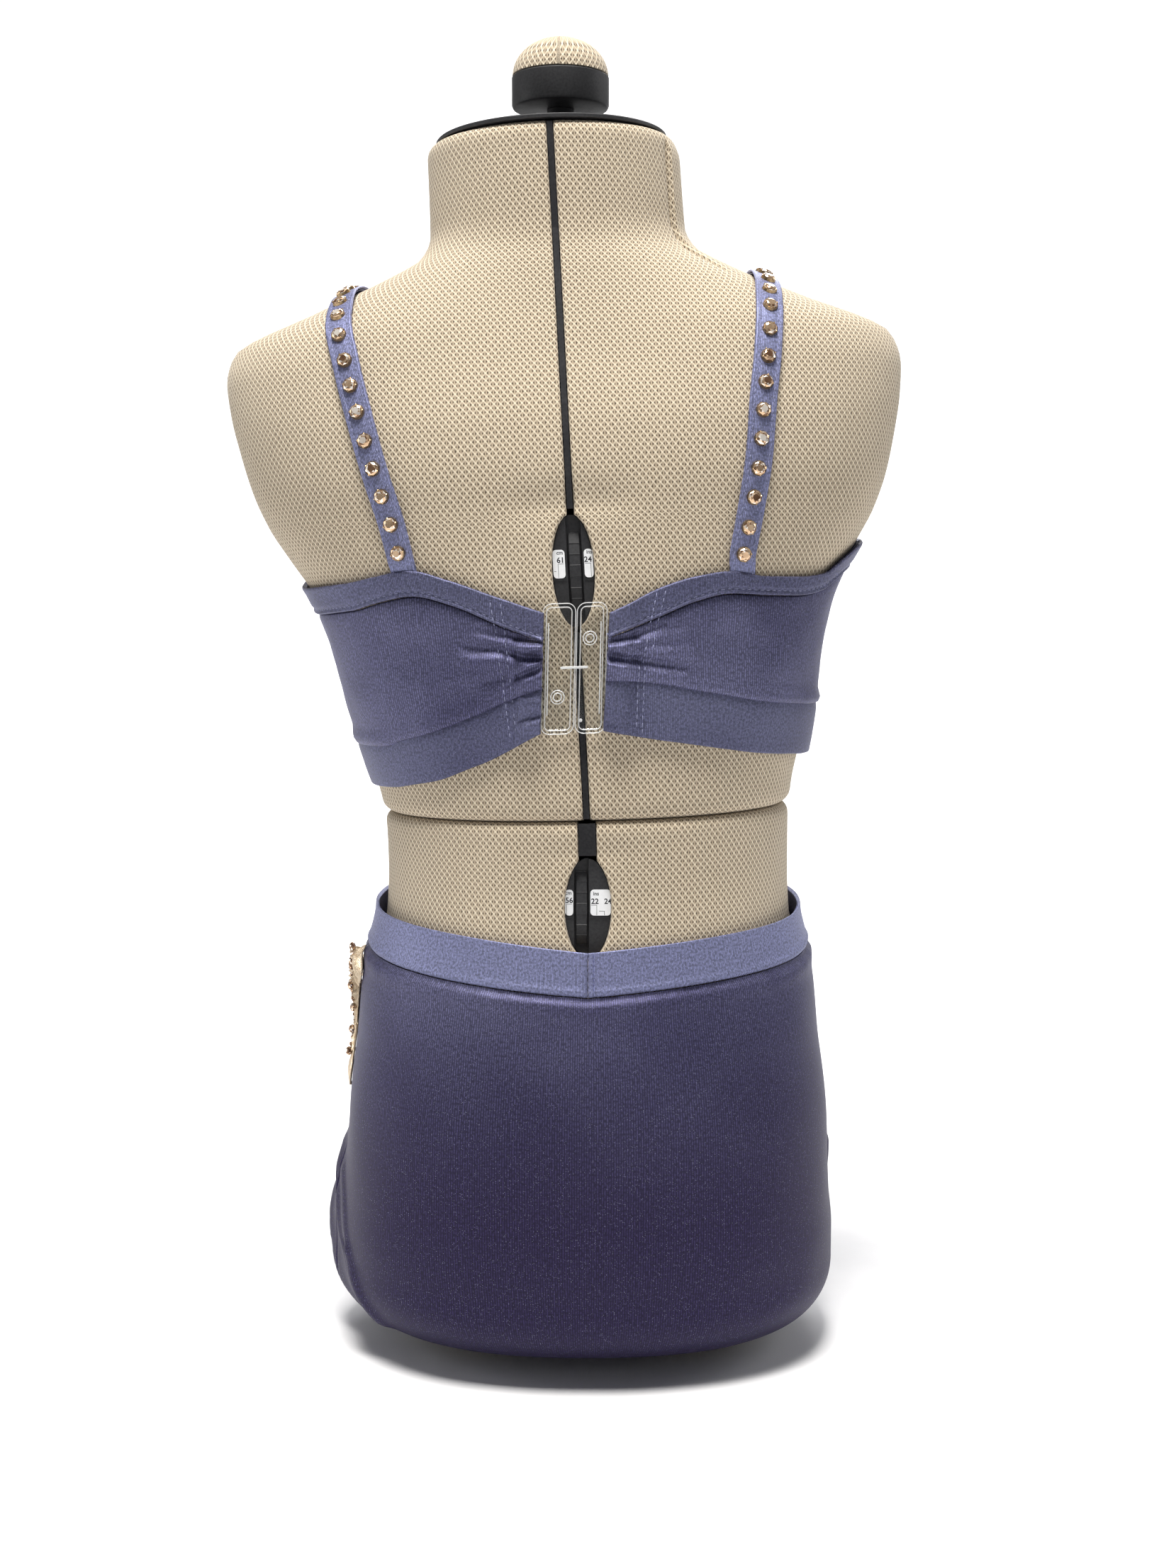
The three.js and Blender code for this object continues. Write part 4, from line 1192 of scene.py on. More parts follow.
BUST_DIAL = Dial(
    "dial_bust",
    height=336.0,
    half_width=8.8,
    half_height=23.5,
    wheel_x=0.8,
    windows=(
        Window(
            low=-8.3,
            high=-3.3,
            height=339.0,
            tall=11.7,
            letters=(("cm", -5.3, 342.9, 2.2), ("61", -5.1, 339.5, 3.2)),
            lines=((-6.2, 339.0, -4.0, 339.0), (-6.2, 339.0, -6.2, 333.4), (-7.9, 336.0, -7.1, 336.0)),
        ),
        Window(
            low=4.6,
            high=8.3,
            height=339.0,
            tall=11.7,
            letters=(("ins", 6.9, 342.9, 2.2), ("24", 6.2, 339.5, 3.2)),
            lines=((5.0, 339.0, 7.3, 339.0), (7.3, 339.0, 7.3, 333.4)),
        ),
    ),
)
WAIST_DIAL = Dial(
    "dial_waist",
    height=195.0,
    half_width=10.0,
    half_height=21.5,
    wheel_x=-2.7,
    windows=(
        Window(
            low=-9.6,
            high=-6.2,
            height=197.5,
            tall=11.0,
            letters=(("cm", -8.2, 200.9, 2.2), ("56", -7.9, 197.4, 3.2)),
            lines=((-9.0, 196.9, -6.9, 196.9), (-9.0, 196.9, -9.0, 192.2)),
        ),
        Window(
            low=1.0,
            high=9.6,
            height=197.5,
            tall=11.0,
            letters=(("ins", 3.4, 200.6, 2.2), ("22", 2.9, 197.0, 3.2), ("24", 8.4, 197.0, 3.2)),
            lines=(
                (1.4, 196.4, 3.7, 196.4),
                (3.7, 196.4, 3.7, 192.2),
                (4.7, 193.9, 6.9, 193.9),
                (6.9, 193.9, 6.9, 192.2),
            ),
        ),
    ),
)


@dataclass(frozen=True)
class Dent:
    """A soft hollow of the form's skin beside an opening."""

    x: float
    height: float
    wide: float
    tall: float
    depth: float


@dataclass
class DressForm:
    """Two-part form with a centre-back slot, two dials and a knob above the neck."""

    shape: FormShape
    palette: Palette
    slot_half: float = 1.5
    lower_slot_half: float = 3.9
    lip_radius: float = 1.3
    lip_depth: float = 4.6
    shell_radius: float = 5.0
    neck_radius: float = 5.0
    columns: int = 150
    plate_radius: float = 51.0
    plate_thickness: float = 1.8
    knob_shift: float = 4.0
    knob_radius: float = 21.5
    knob_bottom: float = 540.5
    knob_band: float = 14.0
    knob_dome: float = 16.5
    stem_radius: float = 6.0
    neck_split: float = 66.0
    front_share: float = 0.33
    dents: tuple[Dent, ...] = (
        Dent(-14, 363, 12, 7, 1.5),
        Dent(13, 364, 12, 7, 1.5),
        Dent(0, 366, 7, 8, 1.2),
        Dent(-9, 218, 9, 5, 0.8),
        Dent(9, 218, 9, 5, 0.8),
    )

    def edge_rows(self, edge: float, way: int, radius: float, steps: Sequence[float]) -> list[Level]:
        """Levels of a rounded edge, drawn in the more the nearer they are to it.

        Args:
            edge: Height of the edge.
            way: 1 where the shell goes up from it, -1 where it goes down.
            radius: Radius of the rounding.
            steps: Distances from the edge.

        Returns:
            Height and shrink of each level.
        """
        return [(edge + way * step, float(rounding(np.float64(step), radius))) for step in steps]

    def dial_marks(self, dial: Dial) -> set[float]:
        """Heights close together about both ends of a dial's opening."""
        ends = (dial.height - dial.half_height, dial.height + dial.half_height)
        return {end + step for end in ends for step in (-1.2, -0.6, -0.2, 0.1, 0.5, 1.1, 2.0)}

    def upper_levels(self) -> list[Level]:
        """Levels of the upper shell, as height and shrink.

        Returns:
            The levels, from the bottom up.
        """
        low = self.shape.split
        top = self.shape.top
        marks = set(np.arange(low + 8, top - 6, 3.6)) | self.dial_marks(BUST_DIAL)
        return [
            (low, 16.0),
            (low, self.shell_radius + 2),
            *self.edge_rows(low, 1, self.shell_radius, (0, 0.3, 0.9, 1.8, 3.2, 5)),
            *((mark, 0.0) for mark in sorted(marks)),
            *self.edge_rows(top, -1, self.neck_radius, (5, 3, 1.6, 0.7, 0.2, 0)),
            (top, self.neck_radius + 4),
            (top, 30.0),
        ]

    def lower_levels(self) -> list[Level]:
        """Levels of the lower shell from under the form up, as reach and shrink.

        Returns:
            The levels, from the bottom up.
        """
        top = self.shape.split - 0.3
        marks = set(np.arange(28, self.shape.split - 7, 4.0)) | self.dial_marks(WAIST_DIAL)
        marks |= set(np.linspace(-14.3, 25, 12)) | {-24.0, -40.0, -60.0, -85.0}
        return [
            *((mark, 0.0) for mark in sorted(marks)),
            *self.edge_rows(top, -1, self.shell_radius, (5, 3.2, 1.8, 0.9, 0.3, 0)),
            (top, self.shell_radius + 2),
            (top, 16.0),
        ]

    def upper_half(self, height: np.ndarray) -> np.ndarray:
        """Half width of the opening in the upper shell."""
        return np.maximum(BUST_DIAL.half_at(height), self.slot_half)

    def lower_half(self, height: np.ndarray) -> np.ndarray:
        """Half width of the opening in the lower shell, 0 below the waist dial."""
        slot = np.where(height > WAIST_DIAL.height, self.lower_slot_half, 0.0)
        return np.maximum(WAIST_DIAL.half_at(height), slot)

    def dent_at(self, points: np.ndarray) -> np.ndarray:
        """Depth of the soft hollows at points of the skin.

        Args:
            points: The points.

        Returns:
            The depth at each point.
        """
        depth = np.zeros(points.shape[:-1])
        for dent in self.dents:
            hollow = bell(points[..., 0], dent.x, dent.wide) * bell(points[..., 2], dent.height, dent.tall)
            depth += np.where(points[..., 1] < 0, dent.depth * hollow, 0.0)
        return depth

    def split_at(self, turn: np.ndarray, height: np.ndarray) -> np.ndarray:
        """Depth of the groove beside the neck where the front shell steps out behind the back one.

        Args:
            turn: Turns about the form.
            height: Heights on the form.

        Returns:
            The depth at each place.
        """
        past = (turn - self.neck_split) * 0.96
        groove = 1.9 * bell(past, 0.0, 1.1)
        step = 1.3 * smoothstep(past, 0.6, 2.2) * (1 - smoothstep(past, 20.0, 60.0))
        return (groove - step) * smoothstep(height, 458.0, 476.0) * (1 - smoothstep(height, 516.0, 522.0))

    def skin(self, name: str, levels: list[Level], half: Line) -> bpy.types.Object:
        """One shell of the form, open along the centre back with rolled-in lips.

        Args:
            name: Name of the piece.
            levels: Reach and shrink of each row.
            half: Gives the half width of the opening at a height.

        Returns:
            The shell's skin.
        """
        radius = self.lip_radius
        arc = radius * math.pi / 2
        inner = [-(arc + step) for step in (self.lip_depth, 2.6, 1.0)]
        rolled = [-arc * share for share in (1, 0.75, 0.5, 0.25)]
        start = np.array([*inner, *rolled])
        near = np.array([0.004, 0.01, 0.018])
        fine = self.neck_split / 360 + np.linspace(-0.011, 0.017, 19)
        middle = np.linspace(0.026, 0.974, self.columns)
        seam = self.front_share
        cuts = np.array([seam, seam + 1e-6, 1 - seam - 1e-6, 1 - seam])
        middle = np.sort(np.concatenate([middle[(middle < fine[0]) | (middle > fine[-1])], fine, cuts]))
        across = np.concatenate([start, [0.0], near, middle, 1 - near[::-1], [1.0], 1 - start[::-1]])
        up = np.arange(len(levels), dtype=float)
        table = np.array(levels)
        shape = self.shape

        def place(column: np.ndarray, row: np.ndarray) -> np.ndarray:
            """Placed points of the skin.

            Args:
                column: Values of the columns.
                row: Values of the rows.

            Returns:
                The placed points.
            """
            reach, shrink = table[row.astype(int)].T
            mirrored = column > 0.5
            share = np.where(mirrored, 1 - column, column)
            past = np.maximum(-share, 0)
            opening = half(reach)
            shown = smoothstep(opening, 0.0, 1.0)
            angle = np.minimum(past / radius, math.pi / 2)
            aside = opening + radius * shown * (1 - np.sin(angle))
            depth = shown * (radius * (1 - np.cos(angle)) + np.maximum(past - arc, 0))
            begin = shape.turn_at(aside, np.maximum(reach, shape.corner))
            turn = begin + np.maximum(share, 0) * (360 - 2 * begin)
            turn = np.where(mirrored, 360 - turn, turn)
            points = shape.point(turn, reach, shrink)
            sunk = depth + self.dent_at(points) + self.split_at(turn, reach)
            return shape.placed(points - shape.normal(turn, reach) * sunk[:, None])

        def lay(column: np.ndarray, row: np.ndarray) -> np.ndarray:
            """Lengths along the skin, round from the nearer centre line and up, in metres.

            Args:
                column: Values of the columns.
                row: Values of the rows.

            Returns:
                A UV place for each point.
            """
            points = place(column, row).reshape(len(up), len(across), 3)
            steps = np.linalg.norm(np.diff(points, axis=1), axis=-1)
            round_from = np.cumsum(np.pad(steps, ((0, 0), (1, 0))), axis=1)
            nearer = np.minimum(round_from, round_from[:, -1:] - round_from)
            opening = half(table[:, 0])
            aside = (opening + radius * smoothstep(opening, 0.0, 1.0)) * MM
            from_back = nearer + (aside - nearer[:, len(start)])[:, None]
            halfway = int(np.searchsorted(across, 0.5))
            front = (round_from[:, halfway - 1] + round_from[:, halfway]) / 2
            on_front = (across > seam + 5e-7) & (across < 1 - seam - 5e-7)
            from_centre = np.where(on_front, np.abs(round_from - front[:, None]), from_back)
            rises = np.median(np.linalg.norm(np.diff(points, axis=0), axis=-1), axis=1)
            up_from = np.repeat(np.cumsum(np.pad(rises, (1, 0))), len(across))
            return np.stack([from_centre.ravel(), up_from], -1)

        bm = mapped_grid(across, up, place, lay)
        bmesh.ops.remove_doubles(bm, verts=bm.verts[:], dist=2e-5)
        face_outward(bm)
        return object_from(name, bm, self.palette.knit)

    def turned_pieces(self) -> list[tuple[bpy.types.Object, str, str]]:
        """Neck plate, stem, band and dome.

        Returns:
            Each piece with the node that it stands for and its slot.
        """
        shape = self.shape
        lean_x = float(shape.leaned(np.array([0.0, 0.0, shape.top]))[0])
        low = shape.top + 0.3
        high = low + self.plate_thickness
        rim = self.plate_radius
        plate_profile = [(0, low), (rim - 0.3, low), (rim, low + 0.3)]
        plate_profile += [(rim, high - 0.5), (rim - 0.5, high), (0, high)]
        plate = spun(plate_profile, (0, 0), 128)
        moved(plate, lambda p: shape.placed(p / MM))
        knob = (lean_x + self.knob_shift, 0.0)
        bottom = self.knob_bottom
        top = bottom + self.knob_band
        outer = self.knob_radius
        stem = self.stem_radius
        stem_low = high + 1.0
        stem_profile = [(0, stem_low), (stem + 2, stem_low), (stem, stem_low + 1.5)]
        stem_profile += [(stem, bottom - 0.3), (0, bottom - 0.3)]
        band_profile = [(0, bottom), (outer - 1.6, bottom), (outer - 0.5, bottom + 0.4)]
        band_profile += [(outer, bottom + 1.5), (outer, top - 0.8), (outer - 0.8, top), (0, top)]
        turns = np.radians(np.linspace(0, 90, 16))
        seat = top + 0.3
        dome = self.knob_dome
        arc = [(outer * math.cos(turn) - 0.3, seat + dome * math.sin(turn)) for turn in turns[:-1]]
        dome_profile = [(0, seat), *arc, (0, seat + dome)]
        pieces = [(plate, "neck_plate", "black_plastic", self.palette.black)]
        for profile, node, slot, finish in (
            (stem_profile, "knob_stem", "black_plastic", self.palette.black),
            (band_profile, "knob_band", "black_plastic", self.palette.black),
            (dome_profile, "knob_dome", "knit", self.palette.knit),
        ):
            raised = [(radius, height + shape.foot) for radius, height in profile]
            pieces.append((spun(raised, knob, 96), node, slot, finish))
        made = []
        for bm, node, slot, finish in pieces:
            wrap_uv(bm)
            piece = object_from(f"form_{node}", bm, finish)
            smooth_by_angle(piece, 35.0)
            made.append((piece, node, slot))
        return made

    def build(self) -> None:
        """Builds the form and lets it ride on the part's one body."""
        upper = self.skin("form_skin_upper", self.upper_levels(), self.upper_half)
        lower = self.skin("form_skin_lower", self.lower_levels(), self.lower_half)
        pieces = [(upper, "form_upper", "knit"), (lower, "form_lower", "knit"), *self.turned_pieces()]
        for dial in (BUST_DIAL, WAIST_DIAL):
            pieces.append((dial.build(self.shape, self.palette), dial.name, "black_plastic"))
        for piece, node, slot in pieces:
            settle(piece, slot, node)
        for name in ("base_foot", "spine_upper", "spine_middle", "spine_lower"):
            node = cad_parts[name]
            node.data.materials.clear()
            node.data.materials.append(self.palette.matt)
            log.info("dressed %s", name)


def wrap_uv(bm: Mesh) -> None:
    """Adds a UV map round the Z axis, in metres.

    Args:
        bm: The shape.
    """
    layer = bm.loops.layers.uv.new("weave")
    xs = [vertex.co.x for vertex in bm.verts]
    middle = (min(xs) + max(xs)) / 2
    reach = (max(xs) - min(xs)) / 2
    for face in bm.faces:
        for loop in face.loops:
            spot = loop.vert.co
            angle = math.atan2(spot.x - middle, spot.y)
            loop[layer].uv = (angle * reach, spot.z + math.hypot(spot.x - middle, spot.y) * 0.6)


def smooth_by_angle(piece: bpy.types.Object, angle: float) -> None:
    """Keeps the edges of a smooth piece sharp where they turn more than an angle in degrees.

    Args:
        piece: The piece.
        angle: The angle.
    """
    bm = bmesh.new()
    bm.from_mesh(piece.data)
    limit = math.radians(angle)
    for edge in bm.edges:
        edge.smooth = edge.is_boundary or edge.calc_face_angle(0.0) < limit
    bm.to_mesh(piece.data)
    bm.free()


def settle(piece: bpy.types.Object, slot: str, *nodes: str) -> bpy.types.Object:
    """Lets a piece ride on the body, in the place of solids.

    Args:
        piece: The piece.
        slot: Not used.
        *nodes: Solids that it stands for.

    Returns:
        The piece.
    """
    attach(piece, "root")
    if nodes:
        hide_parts(*nodes)
    log.info("built %s with %d faces", piece.name, len(piece.data.polygons))
    return piece


def walled(piece: bpy.types.Object, thickness: float) -> None:
    """Gives a surface a wall inwards, in millimetres.

    Args:
        piece: The piece.
        thickness: Thickness of the wall.
    """
    shell = piece.modifiers.new("wall", "SOLIDIFY")
    shell.thickness = thickness * MM
    shell.offset = -1


@dataclass(frozen=True)
class Cut:
    """A cut piece of cloth: its name, finish and slot, what it stands for and what it rests on."""

    name: str
    finish: bpy.types.Material
    slot: str
    nodes: tuple[str, ...]
    thickness: float
    rests_on: tuple[str, ...]
    held: str = "stretched"
    wall_gap: float = 0.2

    def made(self, bm: Mesh, columns: int, rows: int) -> bpy.types.Object:
        """Args:
            bm: The grid.
            columns: Number of its columns of points.
            rows: Number of its rows of points.

        Returns:
            The cloth.
        """
        width, length, area = grid_sizes(bm, columns, rows)
        piece = object_from(self.name, bm, self.finish)
        walled(piece, self.thickness - self.wall_gap)
        settle(piece, self.slot, *self.nodes)
        log.info("cut of %s is %.3f by %.3f m", self.name, width, length)
        return piece


# Cloth


@dataclass(frozen=True)
class Fold:
    """A soft ridge of the cloth, or a trough where its lift is below 0."""

    turn: float
    reach: float
    end_turn: float
    end_reach: float
    lift: float
    spread: float

    def at(self, turn: np.ndarray, reach: np.ndarray) -> np.ndarray:
        """Lift that the fold gives at each place.

        Args:
            turn: Turns about the form.
            reach: Heights, or reaches round the corner.

        Returns:
            The lift at each place.
        """
        run_x = (self.end_turn - self.turn) * DEGREE_LENGTH
        run_y = self.end_reach - self.reach
        away_x = (turn - self.turn) * DEGREE_LENGTH
        away_y = reach - self.reach
        share = np.clip((away_x * run_x + away_y * run_y) / (run_x**2 + run_y**2), 0, 1)
        distance = np.hypot(away_x - share * run_x, away_y - share * run_y)
        return self.lift * bell(distance, 0.0, self.spread)


def once_round(turn: np.ndarray) -> np.ndarray:
    """Turns brought back from beyond a full round."""
    return np.where(turn > 360, turn - 360, turn)


def highest(folds: Sequence[Fold], turn: np.ndarray, reach: np.ndarray) -> np.ndarray:
    """Lift of the highest of several ridges at each place."""
    return np.maximum.reduce([fold.at(turn, reach) for fold in folds])


def summed(folds: Sequence[Fold], turn: np.ndarray, reach: np.ndarray) -> np.ndarray:
    """Lift of several fine folds together."""
    return np.sum([fold.at(turn, reach) for fold in folds], axis=0)


@dataclass(frozen=True)
class TopEdge:
    """Heights of the crop top's edges and seams at one turn."""

    turn: float
    top: float
    binding: float
    seam: float
    bottom: float


TOP_EDGES = (
    TopEdge(8, 318, 307.5, 292, 270.5),
    TopEdge(14, 322, 311, 291.5, 268.5),
    TopEdge(23, 328, 316, 289.5, 265),
    TopEdge(33, 332.3, 322, 286, 262),
    TopEdge(41, 334, 324.5, 283.4, 259.7),
    TopEdge(50, 331.5, 323.5, 280.5, 257.2),
    TopEdge(60, 331.2, 323, 278.5, 255.4),
    TopEdge(68, 333, 325, 277.5, 254.5),
    TopEdge(73, 339, 329, 277, 254),
    TopEdge(80, 345, 334, 277, 254),
    TopEdge(90, 348, 337, 276.5, 253.5),
    TopEdge(110, 351, 340, 275, 252),
    TopEdge(130, 361, 350, 274, 251),
    TopEdge(145, 349, 338, 273, 250),
    TopEdge(180, 338, 327, 273, 250),
    TopEdge(215, 349, 338, 273, 250),
    TopEdge(230, 361, 350, 272, 249),
    TopEdge(250, 346, 335, 270, 248),
    TopEdge(270, 337, 325.5, 268, 247),
    TopEdge(285, 334.7, 322.5, 266, 246),
    TopEdge(300, 335.2, 323.3, 266, 246.6),
    TopEdge(308, 337, 326, 269, 248.3),
    TopEdge(317, 339, 328, 272, 250.5),
    TopEdge(327, 334, 323.5, 277, 255.5),
    TopEdge(340, 325.3, 313.5, 284.5, 262.7),
    TopEdge(351, 319, 307, 290, 270.5),
)
TOP_FOLDS = (
    Fold(350, 306, 341, 303, 2.4, 2.8),
    Fold(341, 303, 331, 300, 1.4, 3.4),
    Fold(350, 299.5, 341, 293.5, 2, 2.4),
    Fold(350, 293, 345, 290, 1.4, 2),
    Fold(9, 304.5, 17, 300.5, 2.4, 2.8),
    Fold(17, 300.5, 25, 299.5, 1.4, 3.2),
    Fold(9, 297.5, 15, 295, 1.8, 2.4),
    Fold(30, 300, 60, 292, 0.7, 7),
    Fold(328, 298, 296, 284, 0.8, 7),
)
FINE_TOP_FOLDS = (
    Fold(350.8, 308.0, 343.0, 309.4, -1.9, 1.3),
    Fold(343.0, 309.4, 333.0, 313.8, -1.3, 1.6),
    Fold(350.5, 305.2, 343.0, 306.2, 1.2, 1.5),
    Fold(343.0, 306.2, 330.0, 309.8, 1.1, 1.7),
    Fold(350.3, 300.4, 342.0, 303.0, -2.4, 1.4),
    Fold(342.0, 303.0, 329.0, 307.0, -1.6, 2.0),
    Fold(349.5, 297.6, 341.0, 298.6, 1.1, 2.0),
    Fold(341.0, 298.6, 328.0, 301.0, 1.0, 2.4),
    Fold(350.4, 298.0, 343.2, 293.6, -1.8, 1.0),
    Fold(343.2, 293.6, 334.0, 291.6, -1.5, 1.5),
    Fold(350.0, 294.4, 345.0, 291.8, 1.2, 1.4),
    Fold(336.0, 295.5, 324.0, 293.5, 0.8, 2.6),
    Fold(313.0, 303.0, 317.5, 301.0, -1.3, 8.0),
    Fold(310.0, 317.5, 322.0, 316.5, 0.7, 5.5),
    Fold(8.7, 306.8, 16.7, 308.8, -1.8, 1.2),
    Fold(16.7, 308.8, 24.0, 313.0, -1.2, 1.5),
    Fold(8.8, 304.4, 17.6, 305.8, 1.2, 1.4),
    Fold(17.6, 305.8, 30.0, 309.0, 1.0, 1.9),
    Fold(8.9, 301.3, 16.9, 299.2, -2.4, 1.4),
    Fold(16.9, 299.2, 29.0, 294.6, -1.6, 1.9),
    Fold(8.3, 297.6, 17.0, 295.2, 1.1, 1.3),
    Fold(17.0, 295.2, 29.0, 291.6, 0.9, 1.8),
    Fold(18.0, 302.6, 31.0, 300.8, 0.9, 2.4),
    Fold(39.0, 302.6, 50.0, 299.6, -1.2, 7.0),
    Fold(34.0, 314.0, 44.0, 316.5, 0.6, 5.0),
)
FINE_BAND_FOLDS = (
    Fold(349.8, 277.6, 344.5, 275.6, -1.9, 1.2),
    Fold(349.5, 282.0, 344.5, 283.0, 1.5, 2.4),
    Fold(349.5, 273.4, 345.0, 272.4, 1.1, 1.8),
    Fold(343.2, 288.0, 342.3, 268.0, -0.9, 1.1),
    Fold(339.5, 286.5, 339.0, 266.0, 0.7, 1.8),
    Fold(9.5, 283.0, 13.0, 282.0, 1.0, 3.5),
    Fold(8.0, 274.0, 12.0, 271.8, -1.2, 1.3),
    Fold(17.3, 290.5, 15.3, 268.5, -0.8, 1.1),
)


@dataclass(frozen=True)
class WaistEdge:
    """Heights of the waistband's edges at one turn, and how far it stands off the form."""

    turn: float
    top: float
    bottom: float
    stand: float


WAIST_EDGES = (
    WaistEdge(0, 177, 158, 0),
    WaistEdge(35, 181.5, 162.5, 0.4),
    WaistEdge(70, 185, 166.5, 2.2),
    WaistEdge(90, 188.5, 169.5, 2.8),
    WaistEdge(120, 192, 172.5, 1),
    WaistEdge(180, 194, 174.5, 0),
    WaistEdge(240, 192, 172.5, 1),
    WaistEdge(270, 189, 170, 2.8),
    WaistEdge(290, 186, 166.5, 2.2),
    WaistEdge(325, 182, 162, 0.4),
    WaistEdge(360, 177, 158, 0),
)


@dataclass(frozen=True)
class LegEdge:
    """Reach of the brief's lower edge at one turn."""

    turn: float
    reach: float


LEG_EDGES = (
    LegEdge(-28, -30.3),
    LegEdge(28, -30.3),
    LegEdge(52, -21),
    LegEdge(90, -18),
    LegEdge(128, -21),
    LegEdge(152, -30.3),
    LegEdge(208, -30.3),
    LegEdge(232, -21),
    LegEdge(270, -18),
    LegEdge(308, -21),
    LegEdge(332, -30.3),
    LegEdge(388, -30.3),
)


@dataclass(frozen=True)
class Swell:
    """How far the hip cloth stands off at the wearer's left side, at one reach."""

    reach: float
    lift: float


SWELLS = (
    Swell(-18, 0.5),
    Swell(-8, 3),
    Swell(5, 5.5),
    Swell(20, 5),
    Swell(45, 6.2),
    Swell(60, 5.6),
    Swell(76, 1.6),
    Swell(90, 0),
)
BRIEF_FOLDS = (
    Fold(270, 74, 282, 38, 2, 5),
    Fold(282, 38, 298, 8, 2, 5),
    Fold(266, 48, 274, 18, 1.8, 5),
    Fold(274, 18, 290, -6, 1.8, 5),
    Fold(94, 72, 100, 56, 2.6, 6),
)
FINE_BRIEF_FOLDS = (
    Fold(275, 62, 284, 34, -1.2, 2.2),
    Fold(284, 34, 292, 8, -1.4, 2.4),
    Fold(278, 66, 288, 34, 0.9, 2.0),
    Fold(288, 34, 300, 6, 0.8, 2.2),
    Fold(268, 60, 270, 30, 0.8, 3.0),
    Fold(270, 22, 280, -4, -0.9, 2.0),
    Fold(92, 66, 92, 60, 0.8, 3.0),
    Fold(96, 140, 100, 90, 0.4, 6.0),
    Fold(60, 30, 40, 4, 0.3, 8.0),
    Fold(104, 60, 130, 18, 0.6, 5.0),
    Fold(256, 58, 236, 16, 0.7, 5.0),
    Fold(150, 40, 160, 0, 0.5, 6.0),
    Fold(210, 40, 200, 0, 0.5, 6.0),
)


@dataclass(frozen=True)
class Fitting:
    """How the cloth lies on the form: its edges, its lifts and its folds."""

    shape: FormShape
    clearance: float = 1.0
    left_seam: float = 276.0
    right_seam: float = 90.0
    right_end: float = 8.9
    left_end: float = 350.2
    clasp_cover: float = 2.8
    cover_reach: float = 7.5
    cover_fade: float = 11.0
    swell_turn: float = 269.0
    swell_spread: float = 10.0
    top: Curve = Curve.of(TOP_EDGES, "top")
    binding: Curve = Curve.of(TOP_EDGES, "binding")
    seam: Curve = Curve.of(TOP_EDGES, "seam")
    bottom: Curve = Curve.of(TOP_EDGES, "bottom")
    waist_top: Curve = Curve.of(WAIST_EDGES, "top")
    waist_bottom: Curve = Curve.of(WAIST_EDGES, "bottom")
    waist_stand: Curve = Curve.of(WAIST_EDGES, "stand")
    leg: Curve = Curve.of(LEG_EDGES, "reach")
    swell: Curve = Curve.of(SWELLS, "lift")

    def leg_edge(self, turn: np.ndarray) -> np.ndarray:
        """Reach of the brief's lower edge."""
        return self.leg(np.where(turn > 332, turn - 360, turn))

    def from_clasp(self, turn: np.ndarray) -> np.ndarray:
        """Distance from the nearer wing's end."""
        return np.minimum(np.abs(turn - self.right_end), np.abs(turn - self.left_end)) * DEGREE_LENGTH

    def cover(self, turn: np.ndarray) -> np.ndarray:
        """Lift of the wing ends over the clasp's flanges."""
        away = self.from_clasp(turn)
        return self.clasp_cover * (1 - smoothstep(away, self.cover_reach, self.cover_reach + self.cover_fade))

    def flare(self, turn: np.ndarray, reach: np.ndarray) -> np.ndarray:
        """Lift of the lower right corner of the underband."""
        return 2.3 * bell(turn, 84, 14) * (1 - smoothstep(reach, 254, 300))

    def top_lift(self, turn: np.ndarray, reach: np.ndarray) -> np.ndarray:
        """Main lift of the crop top off the form."""
        return self.cover(turn) + self.flare(turn, reach) + highest(TOP_FOLDS, turn, reach)

    def brief_lift(self, turn: np.ndarray, reach: np.ndarray) -> np.ndarray:
        """Main lift of the brief off the form.

        Args:
            turn: Turns about the form.
            reach: Heights, or reaches round the corner.

        Returns:
            The lift at each place.
        """
        around = once_round(turn)
        swell = bell(around, self.swell_turn, self.swell_spread)
        below = self.waist_bottom(around) - reach
        roll = 0.9 * bell(below, 4, 3.5)
        fade = 1 - smoothstep(below, 0, 45)
        folds = highest(BRIEF_FOLDS, around, reach)
        return swell * self.swell(reach) + folds + self.waist_stand(around) * fade + roll

    def tilt(self, turn: np.ndarray, reach: np.ndarray) -> np.ndarray:
        """Turn that the wing ends gain or lose where the upright clasp crosses the leaning form.

        Args:
            turn: Turns about the form.
            reach: Heights, or reaches round the corner.

        Returns:
            The change of turn at each place.
        """
        right = np.abs(turn - self.right_end) < np.abs(turn - self.left_end)
        run = np.where(right, (reach - 317) * 0.10 + 0.4, (reach - 319) * 0.086 + 1.6)
        return run / 1.45 * (1 - smoothstep(self.from_clasp(turn), 4, 34))


